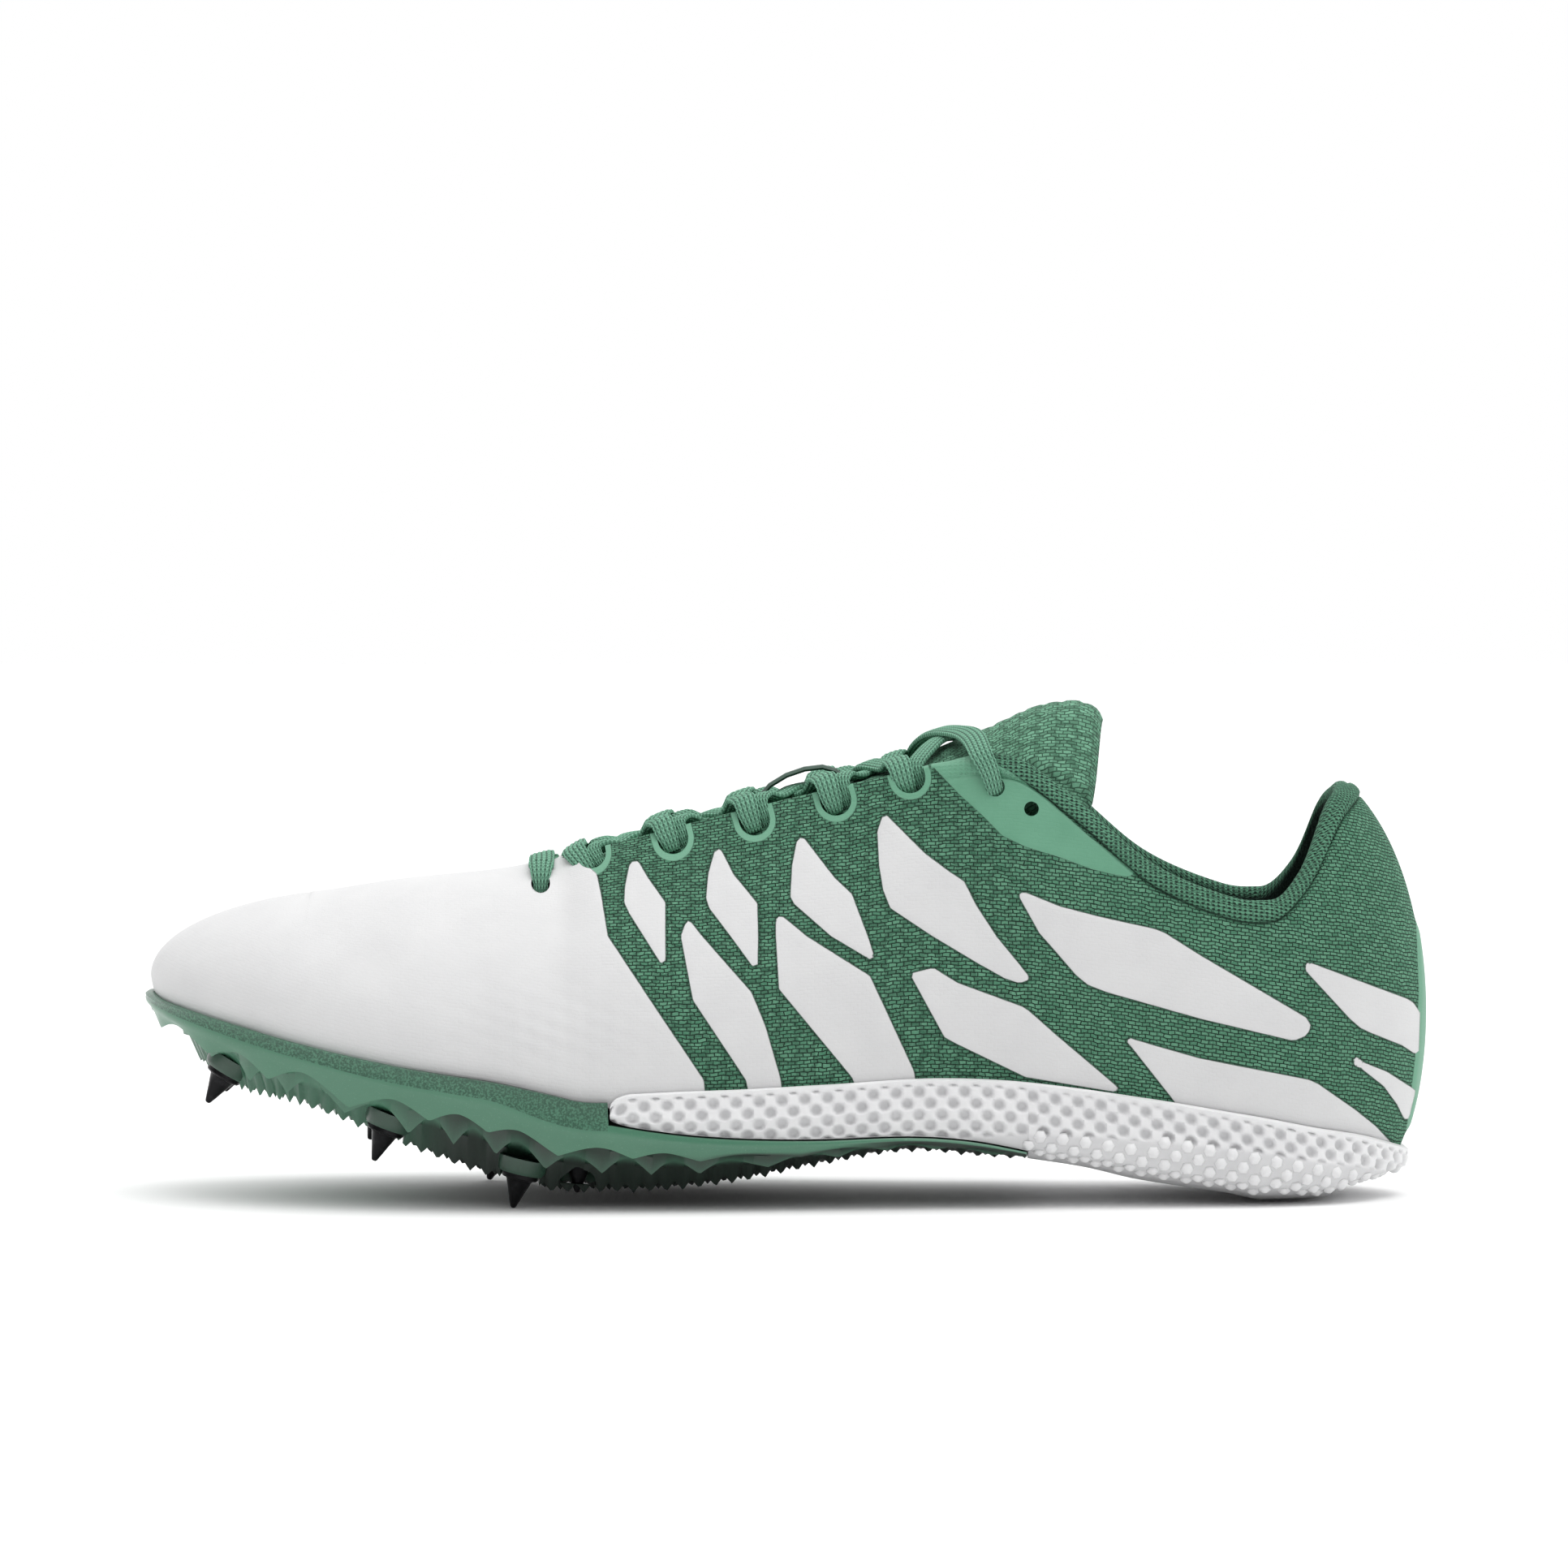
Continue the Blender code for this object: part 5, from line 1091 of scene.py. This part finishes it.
# Insole.
# Dark brushed textile over thin foam, lying on the sole inside the upper.
mat, t, shader = material("insole_textile")
here = t.here()
nap = t.noise(here, 2400.0, 3.0)
worn = t.step(t.noise(here, 28.0, 3.0), 0.4, 0.7)
t.put(t.mix(worn, (0.030, 0.038, 0.034, 1), (0.060, 0.070, 0.064, 1)), shader.inputs["Base Color"])
t.put(t.plus(0.82, t.times(nap, 0.15)), shader.inputs["Roughness"])
t.put(t.bump(nap, 0.0002, 0.6), shader.inputs["Normal"])
shader.inputs["Sheen Weight"].default_value = 0.3
nodes["insole"].data.materials.clear()
nodes["insole"].data.materials.append(mat)

# Tongue.
# Knit over foam: thin under the laces, then a plump pad whose free end stands above the
# collar. Its face is quilted in soft hexagons.
# Middle line: along (share of the length), height (share of the unit), pad (0 thin to 1)
TONGUE = ((-0.180, 0.753, 0.0), (-0.156, 0.766, 0.0), (-0.135, 0.788, 0.0),
          (-0.106, 0.808, 0.0), (-0.071, 0.837, 0.0), (-0.035, 0.868, 0.0), (0.000, 0.901, 0.0),
          (0.035, 0.930, 0.0), (0.071, 0.966, 0.15), (0.106, 1.003, 0.5), (0.142, 1.0719, 0.85),
          (0.177, 1.1450, 1.0), (0.200, 1.1743, 1.0), (0.2165, 1.1879, 0.9))
TONGUE_THIN, TONGUE_PAD, TONGUE_EDGE, TONGUE_FREE = 2.6, 7.5, 0.66, 0.160
LOBE_OUT, LOBE_CROWN, LOBE_DROP = 10.0, 7.5, 8.5            # of the free end, in mm
QUILT_PITCH, QUILT_DEPTH = 4.4, 0.32


def tongue_lines(x):
    """The tongue's upper face across the throat at places along the foot, from the lateral
    edge to the medial edge: under the wall at the sides, arched between the throat's edges."""
    u = row_at(x)
    middle = height_unit(u) * follow(x, TONGUE)
    v = np.linspace(TONGUE_EDGE, 1, 5)
    slack = 2.4 * MM * np.maximum(np.clip(u - COLLAR + 1, 0, 1),
                                  0.6 * np.clip(1 - abs(u - THROAT - 0.4) / 1.4, 0, 1))
    roll = np.clip(u - COLLAR, 0, 1)[:, None] * np.clip((v - 0.86) / 0.14, 0, 1)
    wall = WALL + (COLLAR_WALL - WALL) * np.sqrt(roll)
    halves = []
    for side in (-1, 1):
        under = Ribs(u, side + 0 * u).profile(v, -(wall + 0.7 * MM + slack[:, None]))
        end = under[:, -1]
        shoulder = np.stack([0.5 * end[:, 0], middle - 0.25 * (middle - end[:, 1])], axis=1)
        crown = np.stack([0 * middle, middle], axis=1)
        half = np.concatenate([under, shoulder[:, None], crown[:, None]], axis=1)
        halves.append(half * (side, 1))
    return np.concatenate([halves[0], halves[1][:, -2::-1]], axis=1)


def tongue_face(x, across):
    """Points of the upper face: a smooth line through each section's thirteen places."""
    lines = tongue_lines(x)
    at = np.linspace(0, lines.shape[1] - 1, across)
    fine = np.stack([[smooth(at, np.arange(lines.shape[1]), line[:, i]) for i in (0, 1)]
                     for line in lines])
    points = np.concatenate([np.broadcast_to(x[:, None, None], (len(x), across, 1)),
                             fine.transpose(0, 2, 1)], axis=2)
    share = np.linspace(-1, 1, across)
    free = np.clip((x / LENGTH - TONGUE_FREE) / (TONGUE[-1][0] - TONGUE_FREE), 0, 1)[:, None]
    lobe = free * (1 - np.abs(share) ** 1.35)
    points[..., 0] += LOBE_OUT * MM * lobe
    points[..., 2] += (LOBE_CROWN * free * (1 - share**2) - LOBE_DROP * lobe**2) * MM
    return points


def face_normals(points):
    normal = np.cross(np.gradient(points, axis=0), np.gradient(points, axis=1))
    return normal / (np.linalg.norm(normal, axis=2, keepdims=True) + 1e-12)


def hexagons(a, b, pitch):
    """Soft hexagons: the sum of three level waves 60 degrees apart, 1 in the cells and 0 on
    their borders."""
    k = 4 * math.pi / (math.sqrt(3) * pitch)
    total = sum(np.cos(k * (a * math.cos(turn) + b * math.sin(turn)))
                for turn in np.radians((0, 60, 120)))
    return soft_step(total, -1.4, 0.4)


def pad_shape(along, across):
    """Upper and lower face of the pad as grids, their borders drawn together."""
    x = np.linspace(TONGUE[0][0], TONGUE[-1][0], along) * LENGTH
    face = tongue_face(x, across)
    normal = face_normals(face)
    pad = follow(x, TONGUE, 2)
    thick = (TONGUE_THIN + (TONGUE_PAD - TONGUE_THIN) * pad)[:, None] * MM
    end_run = (x[-1] - x)[:, None] * 1.15
    side_run = run_down(face)
    side_run = np.minimum(side_run, side_run[:, -1:] - side_run)
    near = np.minimum(np.minimum(end_run, side_run) / (0.75 * thick), 1)
    full = (np.sqrt(1 - (1 - near)**2) * thick)[..., None]
    centre = face - normal * thick[..., None] / 2
    return x, centre, normal, full, side_run


def build_tongue():
    along, across = ((190, 110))
    x, centre, normal, full, side_run = pad_shape(along, across)
    run = run_of(centre[:, across // 2])
    ahead = np.broadcast_to(run[:, None] / MM, full.shape[:2])
    from_middle = (run_down(centre) - side_run.max(axis=1, keepdims=True)) / MM
    quilt = QUILT_DEPTH * (hexagons(ahead, from_middle, QUILT_PITCH) - 1)
    quilt = quilt * soft_step(x / MM, 36, 46)[:, None] * soft_step(side_run / MM, 1, 5)
    over = centre + normal * (full / 2 + quilt[..., None] * MM)
    under = centre - normal * full / 2
    points = np.concatenate([over, under[:, ::-1]], axis=1)
    rows = points.shape[1]
    faces = quads(along, rows, wrap_rows=True).reshape(-1, 4)
    caps = [range(rows), range((along - 1) * rows, along * rows)]
    both = lambda grid: np.concatenate([grid, grid[:, ::-1]], axis=1)
    return new_piece("tongue_pad", points, faces.tolist() + [tuple(cap) for cap in caps],
                     surface=(both(ahead), both(from_middle)))


tongue = build_tongue()
mat, t, shader = material("tongue_knit")
knit = t.use(knit_group, At=t.surface())
fibre = t.noise(t.here(), 2600.0, 2.0)
green = t.mix(knit.outputs["Fleck"], (0.055, 0.185, 0.105, 1), (0.150, 0.365, 0.235, 1))
green = t.mix(t.times(fibre, 0.5), green, (0.19, 0.42, 0.29, 1))
green = t.mix(knit.outputs["Cell"], t.mix(0.5, green, (0.025, 0.09, 0.05, 1)), green)
green = t.mix(knit.outputs["Rib"], (0.018, 0.066, 0.036, 1), green)
t.put(green, shader.inputs["Base Color"])
shader.inputs["Roughness"].default_value = 0.85
weave = t.plus(t.times(knit.outputs["Rib"], 0.6), t.times(knit.outputs["Cell"], 0.6))
t.put(t.bump(weave, 0.0003, 0.8), shader.inputs["Normal"])
tongue.data.materials.append(mat)
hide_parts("tongue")
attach(tongue, "root")

# Laces.
# One flat braided lace with five ribs along it. It lies over the vamp between the two round
# eyelets, crosses the tongue from notch to notch, bends over the throat's edge and dips
# through each notch, and ends in the top eyelets.
LACE_WIDTH, LACE_THICK, RIBS_ALONG = 5.6, 1.6, 5


def over_tongue(x, below, from_end, lift):
    """Places above the tongue's face, with the face's normal there. below is the length
    under the throat's edge, in mm, on the side -1 or 1 named by from_end; across the middle
    it is below zero."""
    spots, ways = [], []
    for x0, b, side, up in zip(x, below, from_end, lift):
        lines = tongue_lines(np.array([x0 - 2 * MM, x0, x0 + 2 * MM]))
        runs = [run_of(line) for line in lines]

        def spot(number, shift=0.0):
            line, run = lines[number], runs[number]
            at = run[4] - b * MM if side < 0 else run[8] + b * MM
            return np.array([x0 + (number - 1) * 2 * MM, *(np.interp(at + shift, run, line[:, i])
                                                           for i in (0, 1))])

        normal = np.cross(spot(2) - spot(0), spot(1, 1.5 * MM) - spot(1, -1.5 * MM))
        normal /= np.linalg.norm(normal)
        spots.append(spot(1) + normal * up * MM)
        ways.append(normal)
    return np.array(spots), np.array(ways)


def half_width(x):
    """Half the length across the tongue's face between the throat's edges, in mm."""
    line = tongue_lines(np.array([x, x]))[0]
    return np.linalg.norm(np.diff(line[4:9], axis=0), axis=1).sum() / 2 / MM


def lace_mesh(name, spots, ways, widths, steps=70):
    """Ribbed flat lace swept along smooth curves through the places: its section is a
    flattened oval whose face has five ribs."""
    knots = np.arange(len(spots))
    at = np.linspace(0, len(spots) - 1, steps)
    path = np.stack([smooth(at, knots, spots[:, i]) for i in range(3)], axis=1)
    for _ in range(3):
        path[1:-1] = 0.25 * path[:-2] + 0.5 * path[1:-1] + 0.25 * path[2:]
    up = np.stack([np.interp(at, knots, ways[:, i]) for i in range(3)], axis=1)
    width = np.interp(at, knots, widths)[:, None] / 2 * MM
    ahead = np.gradient(path, axis=0)
    ahead /= np.linalg.norm(ahead, axis=1, keepdims=True)
    across = np.cross(up, ahead)
    across /= np.linalg.norm(across, axis=1, keepdims=True)
    up = np.cross(ahead, across)
    turn = np.linspace(0, 2 * math.pi, 48, endpoint=False)
    a = np.cos(turn)
    rib = 1 + 0.16 * np.cos(RIBS_ALONG * math.pi * a + math.pi)
    b = np.sign(np.sin(turn)) * np.abs(np.sin(turn)) ** 0.6 * rib * LACE_THICK / 2 * MM
    grid = (path[:, None] + width[..., None] * a[None, :, None] * across[:, None]
            + b[None, :, None] * up[:, None])
    rows = len(turn)
    faces = quads(steps, rows, wrap_rows=True).reshape(-1, 4)
    run = run_of(path) / MM
    caps = [range(rows), range((steps - 1) * rows, steps * rows)]
    return new_piece(name, grid, faces.tolist() + [tuple(cap) for cap in caps], surface=(
        np.broadcast_to(run[:, None], (steps, rows)),
        np.broadcast_to(a * LACE_WIDTH / 2, (steps, rows))))


# How a strand ends in a notch: length below the edge, lift above the tongue and width, all in
# mm. The one that comes down from the throat lies in front, and the one that goes up from
# under it to the next notch lies behind.
FRONT = ((5.6, 0.4, 3.4), (4.4, 1.9, 4.0), (2.6, 3.4, 4.8), (0.4, 4.4, 5.3), (-1.8, 3.7, 5.6),
         (-4.6, 1.8, 5.6))
BACK = ((5.6, -1.4, 2.2), (4.4, -0.1, 2.4), (2.6, 1.6, 2.8), (0.4, 3.0, 3.5), (-1.8, 2.9, 4.6),
        (-4.6, 1.6, 5.4))
FRONT_PLACE, BACK_PLACE = -0.9, 2.2
# The top strand's way over the pad: place, the way it faces, and width. y points to its start.
OVER_PAD = (((30.4, 11.5, 97.9), (-0.30, 0.25, 0.92), 4.6),
            ((34.0, 3.0, 100.7), (-0.28, 0.0, 0.96), 5.4),
            ((38.6, -8.0, 101.2), (-0.25, -0.12, 0.96), 5.6),
            ((41.4, -16.5, 100.2), (-0.22, -0.45, 0.86), 5.4))
# Then down the side into the top eyelet: x, share of the wall, way out of it, and width
INTO_EYELET = ((42.9, 0.985, 1.9, 5.0), (44.2, 0.945, 1.6, 4.5), (45.2, 0.905, 1.4, 4.0),
               (45.8, 0.876, 0.6, 3.6), (46.3, 0.858, -1.6, 3.4), (46.8, 0.845, -4.0, 3.4))


def notch_shift(below):
    """How far a notch's lean moves a place towards the toe, in mm."""
    return NOTCH_LEAN * 0.9 * (5.4 - np.maximum(below, 0))


def crossing(name, ends, over, start_side):
    """Strand over the tongue: its ends given as rows of x, below, lift and width that go out
    of one notch and into another, with a straight way across between the throat's edges."""
    (start_x, start_rows), (end_x, end_rows) = ends
    reach = half_width((start_x + end_x) / 2 * MM)
    rows = [(start_x, below, start_side, lift, width) for below, lift, width in start_rows]
    rows += [((start_x + end_x) / 2, -reach * (1 - abs(share)),
              start_side if share >= 0 else -start_side,
              0.9 + over * (1.5 if share == 0 else 0.7), LACE_WIDTH) for share in (0.4, 0, -0.4)]
    rows += [(end_x, below, -start_side, lift, width) for below, lift, width in reversed(end_rows)]
    x, below, side, lift, width = (np.array(column, float) for column in zip(*rows))
    share = np.clip(0.5 - (reach + below) * side * start_side / (2 * reach), 0, 1)
    x = start_x + (end_x - start_x) * share - notch_shift(below)
    spots, ways = over_tongue(x * MM, below, side, lift)
    return lace_mesh(name, spots, ways, width)


def strand(name, low, high, start_side, over):
    """Strand from one notch across the tongue into the next notch on the other side."""
    return crossing(name, ((low[0] + BACK_PLACE, BACK), (high[0] + FRONT_PLACE, FRONT)), over,
                    start_side)


def first_strand(name, start_side, over):
    """Strand that comes up from under the vamp, in front of the throat, to the first notch."""
    hidden = ((-0.5, -1.2, 3.6), (-2.0, 0.2, 4.6))
    start_x = float(last_size("along", THROAT)) * LENGTH / MM + 3.5
    return crossing(name, ((start_x, hidden), (NOTCHES[0][0] + FRONT_PLACE, FRONT)), over,
                    start_side)


def off_wall(rib, v, out):
    """A place that lies a length in mm out of a rib's middle line, and the way out of it."""
    near, far = (rib.place(rib.profile(np.array([v]), o * MM))[0, 0] for o in (out, out + 1))
    return near, (far - near) / MM


def high_strand(name, start_side, over):
    """Strand from the last notch over the tongue's pad to the other side's top eyelet."""
    low = NOTCHES[-1]
    rows = [(low[0] + BACK_PLACE - notch_shift(below), below, start_side, lift, width)
            for below, lift, width in BACK[:4]]
    x, below, side, lift, width = (np.array(column, float) for column in zip(*rows))
    spots, ways = over_tongue(x * MM, below, side, lift)
    pad_spots, pad_ways, pad_widths = zip(*OVER_PAD)
    pad_spots = np.array(pad_spots) * (1, start_side, 1) * MM + (0, 0, over * MM)
    pad_ways = np.array(pad_ways) * (1, start_side, 1)
    other_side = np.array([-float(start_side)])
    wrap = [off_wall(Ribs(row_at(np.array([x_mm * MM])), other_side), v, out)
            for x_mm, v, out, _ in INTO_EYELET]
    wrap_spots, wrap_ways = zip(*wrap)
    spots = np.concatenate([spots, pad_spots, wrap_spots])
    ways = np.concatenate([ways, pad_ways, wrap_ways])
    widths = np.concatenate([width, pad_widths, [row[-1] for row in INTO_EYELET]])
    return lace_mesh(name, spots, ways, widths, 80)


def lowest_bar():
    """The bar over the vamp, from one round eyelet up over the ridge to the other."""
    x, z, _ = EYELETS[2]
    spots, ways, widths = [], [], []
    for side in (-1, 1):
        rib = Ribs(row_at(np.array([x * MM])), np.array([float(side)]))
        fine = np.linspace(0.3, 1, 400)
        low = np.interp(z * MM, rib.profile(fine)[0, :, 1], fine)
        line = [(low + 0.000, -3.4, 2.8), (low + 0.012, -0.9, 3.2), (low + 0.040, 1.2, 4.6),
                (low + 0.10, 1.7, 5.6), (low + 0.35 * (1 - low), 1.4, 5.6),
                (low + 0.7 * (1 - low), 1.4, 5.6)]
        for v, out, width in (line if side < 0 else line[::-1]):
            spot, way = off_wall(rib, v, out)
            spots.append(spot)
            ways.append(way)
            widths.append(width)
        if side < 0:
            spots.append(np.array([x * MM, 0.0, float(rib.top[0]) + 1.35 * MM]))
            ways.append(np.array([-0.3, 0, 0.95]))
            widths.append(5.6)
    return lace_mesh("lace_lowest", np.array(spots), np.array(ways), np.array(widths), 60)


strands = [lowest_bar()]
for start_side in (-1, 1):
    over = 1.0 if start_side > 0 else 0.0
    strands.append(first_strand("lace_1_%d" % (start_side + 2), start_side, over))
    for number, (low, high) in enumerate(zip(NOTCHES, NOTCHES[1:]), start=2):
        strands.append(strand("lace_%d_%d" % (number, start_side + 2), low, high, start_side,
                              over if number % 2 else 1 - over))
    strands.append(high_strand("lace_6_%d" % (start_side + 2), start_side, over * 1.6))

mat, t, shader = material("braided_lace")
along = t.surface()
twill = [t.math("SINE", t.vector("DOT_PRODUCT", along, aim))
         for aim in ((5.2, 5.6, 0), (5.2, -5.6, 0))]
braid = t.math("MAXIMUM", *twill)
rib_waves = RIBS_ALONG * 2 * math.pi / LACE_WIDTH
rib_line = t.math("COSINE", t.vector("DOT_PRODUCT", along, (0, rib_waves, 0)))
thread = t.noise(t.here(), 3000.0, 2.0)
green = t.mix(t.step(braid, -0.2, 0.9), (0.070, 0.210, 0.130, 1), (0.190, 0.440, 0.300, 1))
green = t.mix(t.times(t.step(rib_line, 0.1, 0.9), 0.8), green, (0.012, 0.048, 0.028, 1))
green = t.mix(t.times(thread, 0.35), green, (0.21, 0.46, 0.32, 1))
t.put(green, shader.inputs["Base Color"])
shader.inputs["Roughness"].default_value = 0.8
t.put(t.bump(t.minus(braid, t.times(rib_line, 0.8)), 0.00018, 0.8),
      shader.inputs["Normal"])
for piece in strands:
    piece.data.materials.append(mat)
    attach(piece, "root")
laces = [name for name in nodes if name.startswith("lace_") and name != "lace_keeper"]
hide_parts(*laces)

# Keeper.
# Thin dark band along the middle of the tongue that the laces run under.
mat, t, shader = material("keeper_band")
here = t.here()
t.put(t.mix(t.noise(here, 900.0, 3.0), (0.012, 0.035, 0.024, 1), (0.030, 0.085, 0.055, 1)),
      shader.inputs["Base Color"])
t.put(t.plus(0.5, t.times(t.noise(here, 1500.0, 2.0), 0.3)), shader.inputs["Roughness"])
t.put(t.bump(t.noise(t.vector("MULTIPLY", here, (1, 3, 1)), 1400.0, 2.0), 0.0001, 0.5),
      shader.inputs["Normal"])
keeper = nodes["lace_keeper"]
keeper.data.materials.clear()
keeper.data.materials.append(mat)

# Floor and light.
# A plain white sweep in a studio that is white behind and above the shoe and dim on the
# camera's side, with a broad soft light overhead.
floor = new_piece("floor", [(-3, -3, 0), (3, -3, 0), (3, 3, 0), (-3, 3, 0)], [(0, 1, 2, 3)])
mat, t, shader = material("floor")
shader.inputs["Base Color"].default_value = (0.97, 0.97, 0.97, 1)
shader.inputs["Roughness"].default_value = 0.9
floor.data.materials.append(mat)

world = bpy.data.worlds.new("studio")
world.use_nodes = True
t = Tree(world.node_tree)
toward = t.node("ShaderNodeTexCoord").outputs["Generated"]
white_side = t.step(t.vector("DOT_PRODUCT", toward, (0.25, 0.8, 1.3)), -0.35, 0.40)
high = t.step(t.vector("DOT_PRODUCT", toward, (0, 0, 1)), 0.35, 1.0)
sky = t.mix(high, (1, 1, 1, 1), (1.35, 1.35, 1.35, 1))
t.put(t.mix(white_side, (0.14, 0.14, 0.145, 1), sky),
      world.node_tree.nodes["Background"].inputs["Color"])
bpy.context.scene.world = world
bpy.context.scene.view_settings.view_transform = "Standard"


def soft_light(name, place, toward, size, power):
    """Square area light at a place, turned toward another."""
    light = bpy.data.objects.new(name, bpy.data.lights.new(name, "AREA"))
    light.data.size, light.data.energy = size, power
    light.location = place
    aim = np.array(toward) - np.array(place)
    light.rotation_euler = (math.acos(-aim[2] / np.linalg.norm(aim)), 0,
                            math.atan2(aim[1], aim[0]) - math.pi / 2)
    bpy.context.scene.collection.objects.link(light)


soft_light("overhead", (0.1, -0.20, 1.3), (0, 0, 0.03), 1.1, 6.5)
soft_light("front_right", (0.9, -1.3, 0.9), (0, 0, 0.04), 0.7, 0.8)
soft_light("behind", (0.4, 1.4, 1.0), (0, 0, 0.04), 1.0, 2.0)
